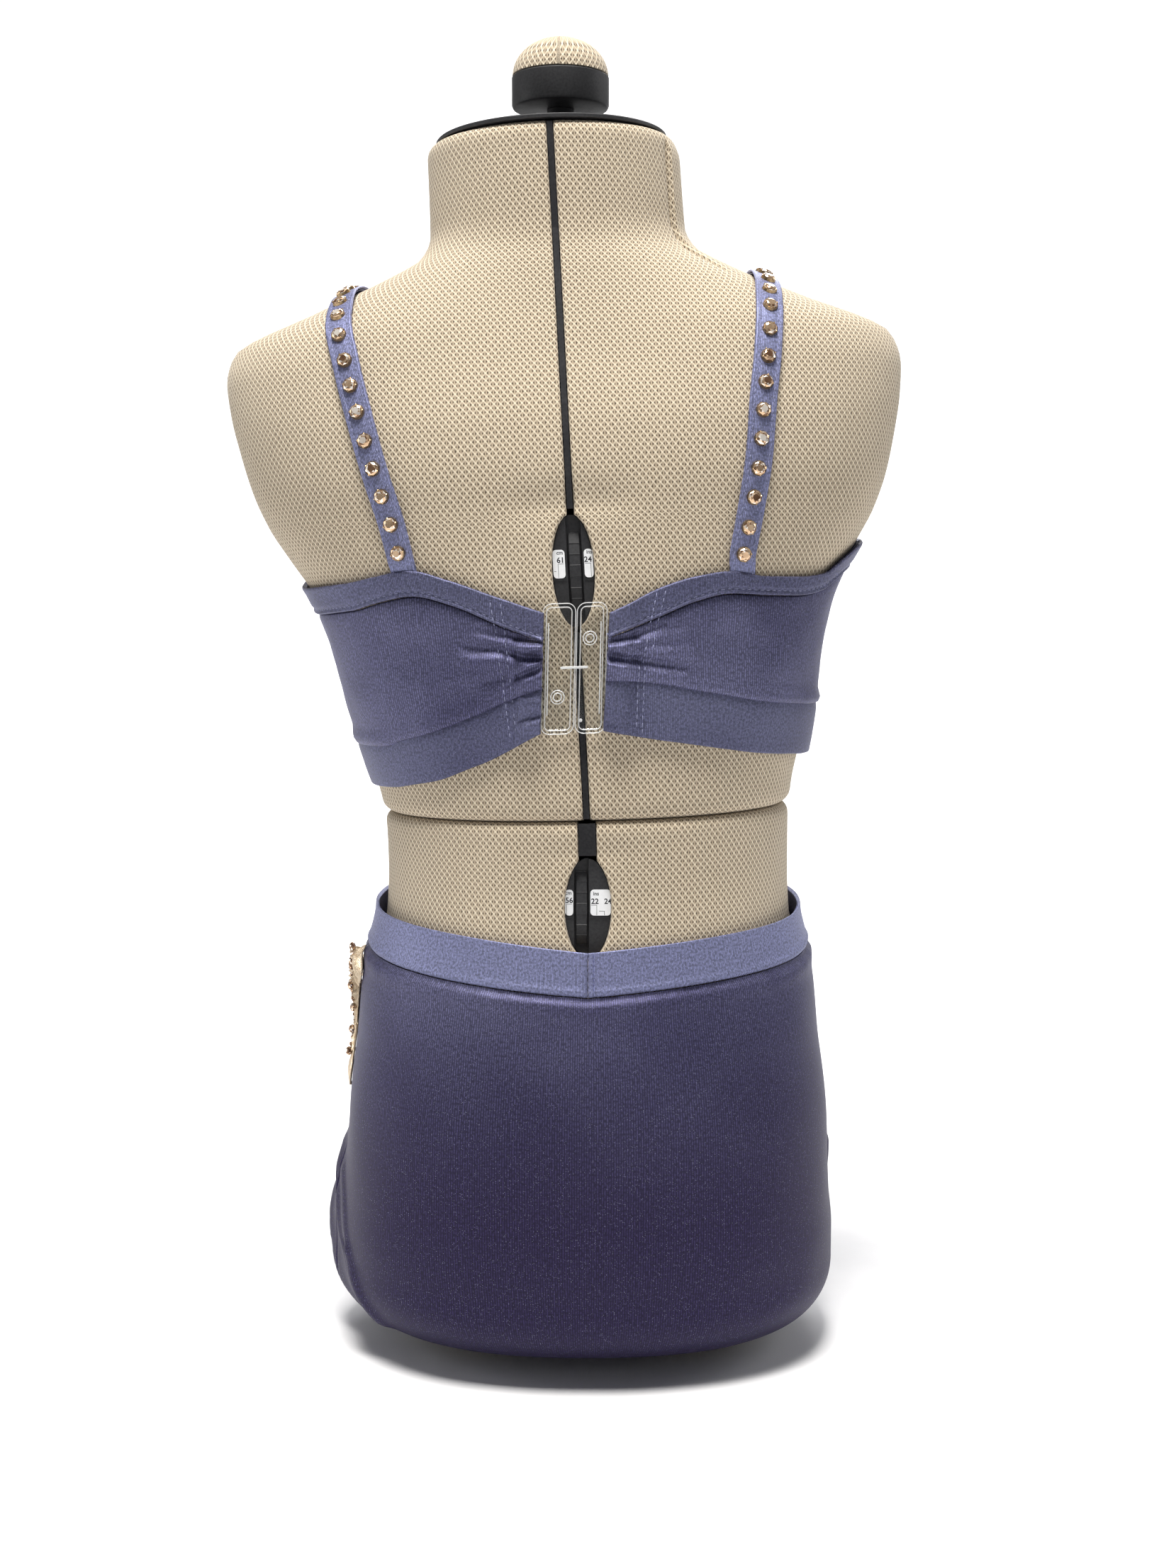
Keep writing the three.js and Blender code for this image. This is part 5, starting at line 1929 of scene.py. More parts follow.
@dataclass
class Strip:
    """One cut piece of cloth that goes round the form between two edges."""

    cut: Cut
    turns: np.ndarray
    low: Line
    high: Line
    lift: Placing
    rows: np.ndarray
    roll: float = 0.8
    rolled_start: bool = False
    rolled_end: bool = False
    tilted: bool = False

    def ends(self) -> np.ndarray:
        """Turns of the columns, closer together at rolled ends.

        Returns:
            The turns, in order.
        """
        steps = np.array([*ROLL_STEPS[1:], 1.0]) * self.roll / DEGREE_LENGTH
        turns = self.turns
        if self.rolled_start:
            turns = np.concatenate([[turns[0]], turns[0] + steps, turns[turns > turns[0] + steps[-1] + 0.2]])
        if self.rolled_end:
            kept = turns[turns < turns[-1] - steps[-1] - 0.2]
            turns = np.concatenate([kept, self.turns[-1] - steps[::-1], [self.turns[-1]]])
        return turns

    def build(self, fitting: Fitting) -> None:
        """Builds the cloth as a thin shell with rolled edges.

        Args:
            fitting: How cloth lies on the form.
        """
        roll = self.roll
        turns = self.ends()
        edge = np.array(ROLL_STEPS) * roll
        up = np.concatenate([edge - roll, self.rows, 1 + roll - edge[::-1]])
        shape = fitting.shape

        def reach_at(turn: np.ndarray, row: np.ndarray) -> np.ndarray:
            """Reach of each row between the two edges.

            Args:
                turn: Turns about the form.
                row: Values of the rows.

            Returns:
                The reaches.
            """
            low = self.low(turn)
            high = self.high(turn)
            inner = low + roll + np.clip(row, 0, 1) * (high - low - 2 * roll)
            return inner + np.minimum(row, 0) + np.maximum(row - 1, 0)

        def place(turn: np.ndarray, row: np.ndarray) -> np.ndarray:
            """Placed points of the outer face.

            Args:
                turn: Turns about the form.
                row: Values of the rows.

            Returns:
                The placed points.
            """
            reach = reach_at(turn, row)
            near = np.minimum(reach - self.low(turn), self.high(turn) - reach)
            if self.rolled_start:
                near = np.minimum(near, (turn - turns[0]) * DEGREE_LENGTH)
            if self.rolled_end:
                near = np.minimum(near, (turns[-1] - turn) * DEGREE_LENGTH)
            lift = fitting.clearance + self.cut.thickness + self.lift(turn, reach)
            lift = lift - 0.85 * rounding(near, roll)
            tilt = fitting.tilt(turn, reach) if self.tilted else 0.0
            return shape.placed(shape.off(turn + tilt, reach, lift))

        def lay(turn: np.ndarray, row: np.ndarray) -> np.ndarray:
            """Lengths round and up the cloth, in metres."""
            return np.stack([turn * DEGREE_LENGTH * MM, reach_at(turn, row) * MM], -1)

        bm = mapped_grid(turns, up, place, lay)
        face_outward(bm)
        self.cut.made(bm, len(turns), len(up))


@dataclass(frozen=True)
class Stitching:
    """Rows of small raised stitches, joined in one mesh."""

    name: str
    finish: bpy.types.Material
    length: float = 2.3
    gap: float = 0.8
    width: float = 0.55
    height: float = 0.4

    def along(self, points: np.ndarray, normals: np.ndarray, bm: Mesh) -> None:
        """Lays stitches along a line.

        Args:
            points: Placed points of the line, close together.
            normals: The surface's normal at each.
            bm: The mesh that takes them.
        """
        steps = np.linalg.norm(np.diff(points, axis=0), axis=1)
        travelled = np.concatenate([[0.0], np.cumsum(steps)])
        pitch = (self.length + self.gap) * MM
        half = self.length * MM / 2
        sizes = (self.length * MM, self.width * MM, self.height * MM)

        def at(values: np.ndarray, mark: float) -> Vector:
            """Values between two points of the line."""
            return Vector([np.interp(mark, travelled, values[:, axis]) for axis in range(3)])

        for mark in np.arange(pitch / 2, travelled[-1], pitch):
            start = at(points, mark - half)
            end = at(points, mark + half)
            matrix = oriented((start + end) / 2, end - start, at(normals, mark), sizes)
            bmesh.ops.create_icosphere(bm, subdivisions=1, radius=0.5, matrix=matrix)

    def build(self, lines: Sequence[Seam], slot: str) -> bpy.types.Object:
        """Builds every line of stitches.

        Args:
            lines: Points and normals of each line.
            slot: The material slot.

        Returns:
            The stitches as one piece.
        """
        bm = bmesh.new()
        for points, normals in lines:
            self.along(points, normals, bm)
        return settle(object_from(self.name, bm, self.finish), slot)


@dataclass
class CropTop:
    """Body of the crop top: three panels, an underband and a binding, with their stitches; the top's two
    straps and clear clasp are built apart.
    """

    fitting: Fitting
    palette: Palette
    panel_thickness: float = 1.3
    band_thickness: float = 1.7
    binding_thickness: float = 2.3
    seam_gap: float = 0.3
    stitch_line: float = 2.2
    overlap: float = 1.3

    def wing_turns(self, side: Side) -> np.ndarray:
        """Turns of a back panel's columns, close together at its gathers.

        Args:
            side: Which side.

        Returns:
            The turns, in order.
        """
        steps = np.concatenate([np.arange(0, 26, 0.55), np.arange(26, 40, 1.2), np.arange(40, 81, 2.2)])
        seam = self.seam_gap / (2 * DEGREE_LENGTH)
        if side is Side.RIGHT:
            end = self.fitting.right_seam - seam
            turns = self.fitting.right_end + steps
            return np.concatenate([turns[turns < end - 0.5], [end]])
        end = self.fitting.left_seam + seam
        turns = self.fitting.left_end - steps
        return np.concatenate([turns[turns > end + 0.5], [end]])[::-1]

    def front_turns(self) -> np.ndarray:
        """Turns of the front panel's columns."""
        seam = self.seam_gap / (2 * DEGREE_LENGTH)
        return np.linspace(self.fitting.right_seam + seam, self.fitting.left_seam - seam, 96)

    def panel_lift(self, turn: np.ndarray, reach: np.ndarray) -> np.ndarray:
        """Lift of a panel, with its fine gathers and its puffed lower edge.

        Args:
            turn: Turns about the form.
            reach: Heights, or reaches round the corner.

        Returns:
            The lift at each place.
        """
        fit = self.fitting
        above = reach - fit.seam(turn)
        puff = 1.35 * bell(above, 1.4, 2.6)
        pinch = -0.7 * bell(fit.binding(turn), reach, 1.6)
        fine = summed(FINE_TOP_FOLDS, turn, reach)
        wave = 0.10 * np.sin(turn * 0.9 + reach * 0.21) + 0.08 * np.sin(turn * 0.43 - reach * 0.33)
        lift = fit.top_lift(turn, reach) + fine + puff + pinch + wave
        return np.maximum(lift, -0.7)

    def band_lift(self, turn: np.ndarray, reach: np.ndarray) -> np.ndarray:
        """Lift of the underband, drawn in a little where it meets the panels.

        Args:
            turn: Turns about the form.
            reach: Heights, or reaches round the corner.

        Returns:
            The lift at each place.
        """
        fit = self.fitting
        tuck = -0.7 * bell(fit.seam(turn), reach, 2.4)
        fine = summed(FINE_BAND_FOLDS, turn, reach)
        return np.maximum(fit.top_lift(turn, reach) + tuck + fine, -0.6)

    def binding_lift(self, turn: np.ndarray, reach: np.ndarray) -> np.ndarray:
        """Lift of the binding, with a shallow groove along its stitches.

        Args:
            turn: Turns about the form.
            reach: Heights, or reaches round the corner.

        Returns:
            The lift at each place.
        """
        fit = self.fitting
        above = reach - fit.binding(turn)
        groove = -0.6 * bell(above, self.stitch_line, 0.8)
        lip = 0.15 * bell(above, 0.9, 0.7)
        return fit.top_lift(turn, reach) + groove + lip

    def strips(self) -> list[Strip]:
        """The nine cut pieces of the body of the top.

        Returns:
            The pieces, not built yet.
        """
        fit = self.fitting
        gap = self.seam_gap / 2
        satin = self.palette.satin
        band = self.palette.band
        places = (
            ("back_right", self.wing_turns(Side.RIGHT), True, False),
            ("back_left", self.wing_turns(Side.LEFT), False, True),
            ("front", self.front_turns(), False, False),
        )
        overlapped = lambda turn: fit.seam(turn) - self.overlap
        under_seam = lambda turn: fit.seam(turn) - gap
        under_binding = lambda turn: fit.binding(turn) - gap
        over_binding = lambda turn: fit.binding(turn) + gap
        kinds = (
            ("panel", "top", satin, "satin", overlapped, under_binding, 30, 0.8),
            ("underband", "underband", band, "satin_band", fit.bottom, under_seam, 14, 0.8),
            ("binding", "binding", band, "satin_band", over_binding, fit.top, 14, 1.1),
        )
        lifts = (self.panel_lift, self.band_lift, self.binding_lift)
        thicknesses = (self.panel_thickness, self.band_thickness, self.binding_thickness)
        made = []
        for place, turns, start, end in places:
            for row, lift, thickness in zip(kinds, lifts, thicknesses):
                kind, node, finish, slot, low, high, count, roll = row
                gathered = kind == "panel" and place != "front"
                held = "gathered" if gathered else "stretched"
                nodes = (f"{node}_{place}",)
                cut = Cut(f"top_{kind}_{place}", finish, slot, nodes, thickness, ("form_skin_upper",), held)
                rows = np.linspace(0, 1, count)
                made.append(Strip(cut, turns, low, high, lift, rows, roll, start, end, True))
        return made

    def line(self, turns: np.ndarray, heights: np.ndarray, lifts: np.ndarray) -> Seam:
        """Placed points and normals of a line on the cloth.

        Args:
            turns: Turns about the form.
            heights: Heights on the form.
            lifts: How far the points stand off.

        Returns:
            Placed points and normals.
        """
        fit = self.fitting
        tilted = turns + fit.tilt(turns, heights)
        points = fit.shape.placed(fit.shape.off(tilted, heights, fit.clearance + lifts + 0.05))
        return points, fit.shape.normal(tilted, heights)

    def upright_line(self, start: tuple[float, float], end: tuple[float, float]) -> Seam:
        """A line of stitches that crosses binding, panel and underband.

        Args:
            start: Turn and height of its upper end.
            end: Turn and height of its lower end.

        Returns:
            Placed points and normals.
        """
        fit = self.fitting
        share = np.linspace(0, 1, 80)
        turns = start[0] + share * (end[0] - start[0])
        heights = start[1] + share * (end[1] - start[1])
        binding = self.binding_lift(turns, heights) + self.binding_thickness
        panel = self.panel_lift(turns, heights) + self.panel_thickness
        band = self.band_lift(turns, heights) + self.band_thickness
        below = np.where(heights > fit.seam(turns) - 0.5, panel, band)
        outer = np.where(heights > fit.binding(turns), binding, below)
        return self.line(turns - fit.tilt(turns, heights), heights, outer)

    def build(self) -> None:
        """Builds the body of the top and its stitches."""
        fit = self.fitting
        for strip in self.strips():
            strip.build(fit)
        lines = []
        ranges = (
            (fit.right_end + 0.8, fit.right_seam - 0.5),
            (fit.right_seam + 0.5, fit.left_seam - 0.5),
            (fit.left_seam + 0.5, fit.left_end - 0.8),
        )
        for low, high in ranges:
            turns = np.linspace(low, high, 420)
            heights = fit.binding(turns) + self.stitch_line
            lifts = self.binding_lift(turns, heights) + self.binding_thickness
            lines.append(self.line(turns, heights, lifts))
        crossings = (
            ((337.1, 325.0), (339.9, 268.0)),
            ((339.8, 324.2), (341.6, 270.5)),
            ((22.3, 326.5), (17.8, 297.5)),
            ((24.6, 327.2), (19.6, 297.5)),
            ((16.5, 296.5), (14.6, 269.5)),
            ((18.3, 296.3), (16.2, 268.8)),
        )
        lines += [self.upright_line(start, end) for start, end in crossings]
        Stitching("top_stitches", self.palette.thread).build(lines, "satin")


@dataclass(frozen=True)
class StrapRow:
    """How far each strap lies from the middle, by angle about a point inside the shoulders."""

    angle: float
    left: float
    right: float


STRAP_ROWS = (
    StrapRow(-29, 70, 69.5),
    StrapRow(-17, 73.5, 73.8),
    StrapRow(0, 79.5, 78.5),
    StrapRow(19, 85, 81.8),
    StrapRow(36, 89.5, 85.4),
    StrapRow(53, 93, 88),
    StrapRow(68, 92.5, 89),
    StrapRow(90, 90, 88.5),
    StrapRow(120, 85, 85),
    StrapRow(150, 79, 80),
    StrapRow(200, 72, 73),
)


@dataclass
class Strap:
    """A shoulder strap with a row of faceted stones in metal cups."""

    side: Side
    fitting: Fitting
    palette: Palette
    width: float = 12.0
    thickness: float = 1.8
    pivot: float = 380.0
    pitch: float = 12.0
    first_stone: float = 9.5
    tuck: float = 2.5
    roll: float = 0.9
    stitch_line: float = 1.9
    samples: int = 400

    def inside(self, x: np.ndarray, y: np.ndarray, z: np.ndarray) -> np.ndarray:
        """Level value of the form at points: below 1 inside it.

        Args:
            x: Places across.
            y: Places from back to front.
            z: Heights.

        Returns:
            The level at each point.
        """
        shape = self.fitting.shape
        depth = np.where(y < 0, shape.back(z), shape.front(z))
        power = shape.power(z)
        return (np.abs(x) / shape.half_width(z)) ** power + (np.abs(y) / depth) ** power

    def points(self, angles: np.ndarray) -> np.ndarray:
        """Points of the skin under the strap's middle line, by angle.

        Args:
            angles: Angles about the pivot, in degrees.

        Returns:
            A point for each angle.
        """
        x = self.side.value * Curve.of(STRAP_ROWS, self.side.word)(angles)
        turn = np.radians(angles)
        near = np.zeros(len(angles))
        far = np.full(len(angles), 160.0)
        for _ in range(24):
            middle = (near + far) / 2
            y = -np.cos(turn) * middle
            z = self.pivot + np.sin(turn) * middle
            within = (self.inside(x, y, z) < 1) & (z < self.fitting.shape.top)
            near = np.where(within, middle, near)
            far = np.where(within, far, middle)
        return np.stack([x, -np.cos(turn) * near, self.pivot + np.sin(turn) * near], -1)

    def normals(self, points: np.ndarray, along: np.ndarray) -> np.ndarray:
        """Normals of the skin, square to the strap's run.

        Args:
            points: The points.
            along: Direction of the strap there.

        Returns:
            A unit vector for each point.
        """
        step = 0.4
        slopes = []
        for axis in range(3):
            shift = np.zeros(3)
            shift[axis] = step
            ahead = self.inside(*(points + shift).T)
            behind = self.inside(*(points - shift).T)
            slopes.append(ahead - behind)
        normal = np.stack(slopes, -1)
        normal /= np.linalg.norm(normal, axis=1, keepdims=True)
        normal -= along * np.sum(normal * along, axis=1, keepdims=True)
        return normal / np.linalg.norm(normal, axis=1, keepdims=True)

    def end_angle(self, front: bool) -> float:
        """Angle at which the strap meets the binding's upper edge.

        Args:
            front: Whether it is the strap's front end.

        Returns:
            The angle in degrees.
        """
        angles = np.arange(170, 205, 0.25) if front else np.arange(0, -60, -0.25)
        points = self.points(angles)
        turns = (np.degrees(np.arctan2(points[:, 1], points[:, 0])) + 450) % 360
        below = points[:, 2] < self.fitting.top(turns) - self.tuck
        return float(angles[int(np.argmax(below))])

    @property
    def rise(self) -> float:
        """Height of the strap's face off the form."""
        return self.fitting.clearance + self.thickness

    @cached_property
    def frames(self) -> tuple[np.ndarray, np.ndarray, np.ndarray, np.ndarray]:
        """Points, normals, sideways directions and travelled lengths along the strap.

        Returns:
            The four arrays, one row for each sample.
        """
        angles = np.linspace(self.end_angle(False), self.end_angle(True), self.samples)
        points = self.points(angles)
        along = self.points(angles + 1) - self.points(angles - 1)
        along /= np.linalg.norm(along, axis=1, keepdims=True)
        normals = self.normals(points, along)
        across = np.cross(along, normals)
        steps = np.linalg.norm(np.diff(points, axis=0), axis=1)
        return points, normals, across, np.concatenate([[0.0], np.cumsum(steps)])

    def cloth(self) -> None:
        """Builds the strap's cloth."""
        points, normals, across, travelled = self.frames
        half = self.width / 2
        roll = self.roll
        edge = np.array(ROLL_STEPS) * roll
        inner = np.linspace(-half + roll, half - roll, 9)
        sideways = np.concatenate([edge - half, inner, half - edge[::-1]])
        rows = np.linspace(0, len(points) - 1, 190)
        shape = self.fitting.shape

        def pick(values: np.ndarray, row: np.ndarray) -> np.ndarray:
            """Values between two samples of the line.

            Args:
                values: Values of the samples.
                row: Values of the rows.

            Returns:
                The values at the rows.
            """
            low = np.minimum(row.astype(int), len(values) - 2)
            share = row - low
            return values[low] + (values[low + 1] - values[low]) * share.reshape(-1, *[1] * (values.ndim - 1))

        def place(side_run: np.ndarray, row: np.ndarray) -> np.ndarray:
            """Placed points of the outer face.

            Args:
                side_run: Places across the strap.
                row: Values of the rows.

            Returns:
                The placed points.
            """
            near = half - np.abs(side_run)
            groove = 0.3 * bell(near, self.stitch_line, 0.6)
            far = np.minimum(pick(travelled, row), travelled[-1] - pick(travelled, row))
            sink = 0.8 * (1 - smoothstep(far, self.tuck, self.tuck + 3))
            rise = self.rise - rounding(near, roll) - groove - sink
            centre = pick(points, row) + pick(across, row) * side_run[:, None]
            return shape.placed(centre + pick(normals, row) * rise[:, None])

        def lay(side_run: np.ndarray, row: np.ndarray) -> np.ndarray:
            """Lengths across and along the strap, in metres."""
            return np.stack([side_run * MM, pick(travelled, row) * MM], -1)

        bm = mapped_grid(sideways, rows, place, lay)
        bmesh.ops.recalc_face_normals(bm, faces=bm.faces[:])
        bm.normal_update()
        middle = bm.faces[len(bm.faces) // 2]
        towards = Vector(normals[len(normals) // 2])
        if middle.normal.dot(towards) < 0:
            bmesh.ops.reverse_faces(bm, faces=bm.faces[:])
        word = self.side.word
        nodes = (f"strap_{word}",)
        rests_on = ("form_skin_upper",)
        # The strap takes the lighter satin copy, whose extra lightness is painted sheen
        cut = Cut(f"shoulder_strap_{word}", self.palette.waist, "strap", nodes, self.thickness, rests_on)
        cut.made(bm, len(sideways), len(rows))

    def stone(self, chance: random.Random) -> Mesh:
        """One faceted stone, its girdle at z = 0, in millimetres, whose facets take at random the amber
        finish or its copies with painted highlight and painted shade.

        Args:
            chance: Source of the random tones.

        Returns:
            The stone, its girdle at z = 0.
        """
        bm = bmesh.new()
        bmesh.ops.create_circle(bm, cap_ends=False, radius=2.95, segments=8)
        ring = bm.edges[:]
        for scale, rise in ((0.97, 0.35), (0.76, 0.55), (0.66, 0.25)):
            made = bmesh.ops.extrude_edge_only(bm, edges=ring)
            ring = picked(made, bmesh.types.BMEdge)
            verts = picked(made, bmesh.types.BMVert)
            bmesh.ops.scale(bm, vec=(scale, scale, 1), verts=verts)
            turn = Matrix.Rotation(math.pi / 8, 3, "Z") if scale < 0.9 else Matrix.Identity(3)
            bmesh.ops.rotate(bm, cent=(0, 0, 0), matrix=turn, verts=verts)
            bmesh.ops.translate(bm, vec=(0, 0, rise), verts=verts)
        bmesh.ops.contextual_create(bm, geom=[edge for edge in ring if edge.is_boundary])
        bmesh.ops.triangulate(bm, faces=[face for face in bm.faces if len(face.verts) == 4])
        bmesh.ops.recalc_face_normals(bm, faces=bm.faces[:])
        for face in sorted(bm.faces, key=spot_of):
            # Each facet takes at random the amber finish, the painted highlight or the painted shade
            face.material_index = chance.choice((0, 0, 1, 2))
        return bm

    def cup(self) -> Mesh:
        """The metal cup under a stone, with four short claws.

        Returns:
            The cup, about z = 0.
        """
        bm = bmesh.new()
        bmesh.ops.create_cone(bm, cap_ends=True, segments=16, radius1=3.35, radius2=3.1, depth=1.3)
        for quarter in range(4):
            angle = math.pi / 4 + quarter * math.pi / 2
            spot = Matrix.Translation((2.75 * math.cos(angle), 2.75 * math.sin(angle), 0.85))
            size = Matrix.Diagonal((1.1, 0.75, 0.9, 1.0))
            matrix = spot @ Matrix.Rotation(angle, 4, "Z") @ size
            bmesh.ops.create_icosphere(bm, subdivisions=1, radius=0.55, matrix=matrix)
        return marked(bm, 3)

    def stones(self) -> None:
        """Sets the stones along the strap, each turned and tipped a little."""
        points, normals, across, travelled = self.frames
        chance = random.Random(40 + self.side.value)
        shapes = []
        for mark in np.arange(self.first_stone, travelled[-1] - 5.0, self.pitch):
            index = int(np.searchsorted(travelled, mark))
            normal = Vector(normals[index])
            sideways = Vector(across[index])
            tip = Vector([chance.uniform(-0.05, 0.05) for _ in range(3)])
            base = self.fitting.shape.leaned(points[index] + normals[index] * (self.rise + 0.45))
            base = Vector(base) + Vector((0, 0, self.fitting.shape.foot))
            seat = oriented(base * MM, sideways, normal + tip, (MM, MM, MM))
            turn = Matrix.Rotation(chance.uniform(0, math.tau), 4, "Z")
            for bm, up in ((self.cup(), 0.0), (self.stone(chance), 0.62)):
                lift = Matrix.Translation((0, 0, up))
                bmesh.ops.transform(bm, matrix=seat @ turn @ lift, verts=bm.verts[:])
                shapes.append(bm)
        finishes = (*self.palette.stones(), self.palette.cup)
        name = f"strap_stones_{self.side.word}"
        settle(object_from(name, joined(shapes), *finishes, smooth=False), "strap")

    def build(self) -> None:
        """Builds the strap, its stones and its stitches."""
        self.cloth()
        self.stones()
        points, normals, across, _ = self.frames
        offset = self.width / 2 - self.stitch_line
        lines = []
        for way in (-1, 1):
            raised = points + across * offset * way + normals * (self.rise - 0.25)
            lines.append((self.fitting.shape.placed(raised), normals))
        Stitching(f"strap_stitches_{self.side.word}", self.palette.thread, width=0.45).build(lines, "strap")


@dataclass
class Clasp:
    """Clear two-part clasp at the centre back, upright while the form leans."""

    shape: FormShape
    palette: Palette
    bottom: float = 269.0
    top: float = 323.0
    split: float = 0.6
    half: float = 13.4
    flange: float = 17.6
    clearance: float = 0.9
    thickness: float = 1.9
    pan: float = 1.2
    floor: float = 0.65
    rim_wall: float = 0.4
    corner: float = 3.8
    tilt: float = 0.075
    lean_from: float = 322.0

    def half_plate(self, side: Side) -> Mesh:
        """One half: a thin pan with a raised rim, a flange, a ring boss and a low rib.

        Args:
            side: Which half.

        Returns:
            The half, with x across, y up and z outward from the form.
        """
        sign = side.value
        inner = self.split + sign * 0.12
        outer = sign * self.half
        low, high = min(inner, outer), max(inner, outer)
        tall = self.top - self.bottom
        middle_y = (self.top + self.bottom) / 2
        plate = rounded_plate(high - low, tall, self.corner, self.pan, ((low + high) / 2, middle_y), 6)
        face = max(plate.faces, key=lambda item: item.calc_center_median().z)
        rims = []
        for wall, sink in ((self.rim_wall, 0.0), (1.1, 0.0), (self.rim_wall, 0.0), (0.1, -0.55)):
            around = bmesh.ops.inset_region(plate, faces=[face], thickness=wall, depth=sink)["faces"]
            rims += around if wall == self.rim_wall else []
        extruded(plate, self.thickness - self.pan, rims)
        # Raised rims take the second finish, the painted edge highlight; the rings, rib, post and upright
        # below take it too
        for item in plate.faces:
            raised = item.calc_center_median().z > self.pan + 0.05
            item.material_index = int(raised and item is not face)
        reach = sign * self.flange
        flange_inner = sign * (self.half - 1.5)
        flange_mid = ((reach + flange_inner) / 2, middle_y - 1.5)
        flange = rounded_plate(abs(reach - flange_inner), tall - 8.0, 1.6, 0.9, flange_mid, 4)
        boss_at = (-9.4, 284.5) if side is Side.LEFT else (5.3, 308.3)
        x = boss_at[0] + self.shift_at(boss_at[1])
        parts = [plate, flange]
        for radius, wall, rise in ((3.0, 0.4, 1.1), (1.9, 0.45, 1.3)):
            ring = bmesh.new()
            bmesh.ops.create_circle(ring, cap_ends=True, radius=radius, segments=32)
            disc = ring.faces[:]
            bmesh.ops.inset_region(ring, faces=disc, thickness=wall, use_boundary=True, use_even_offset=True)
            bmesh.ops.delete(ring, geom=disc, context="FACES_ONLY")
            parts.append(marked(shifted(extruded(ring, rise), x, boss_at[1], self.floor + 0.05), 1))
        if side is Side.LEFT:
            rib = rounded_plate(11.4, 1.0, 0.4, 0.7, (0.1, 296.5), 3)
            post = rounded_plate(1.4, 1.4, 0.5, 0.6, (-0.4 + self.shift_at(274.6), 274.6), 4)
            parts.append(marked(shifted(rib, z=self.thickness), 1))
            parts.append(marked(shifted(post, z=self.floor + 0.01), 1))
        upright = rounded_plate(0.5, tall - 16.0, 0.2, 0.5, (sign * (self.half - 2.6), middle_y), 2)
        parts.append(marked(shifted(upright, z=self.floor + 0.01), 1))
        return joined(parts)

    def stood(self, points: np.ndarray) -> np.ndarray:
        """Points of the clasp, placed on the form's back."""
        x, height, out = points.T
        return self.shape.on_back(x - self.shift_at(height), height, out + self.clearance)

    def shift_at(self, height: Any) -> Any:
        """How far the clasp's line has run from the form's at a height."""
        return (self.lean_from - height) * self.tilt

    def build(self) -> None:
        """Builds both halves and stands them on the form's back."""
        for side in Side:
            bm = self.half_plate(side)
            soften_edges(bm, 0.12, 50.0, 1)
            moved(bm, self.stood)
            # The second finish is the painted edge highlight
            finishes = (self.palette.clear, self.palette.clear_edge)
            made = object_from(f"clear_clasp_{side.word}", bm, *finishes, smooth=False)
            settle(made, "clear_plastic", f"clasp_{side.word}")


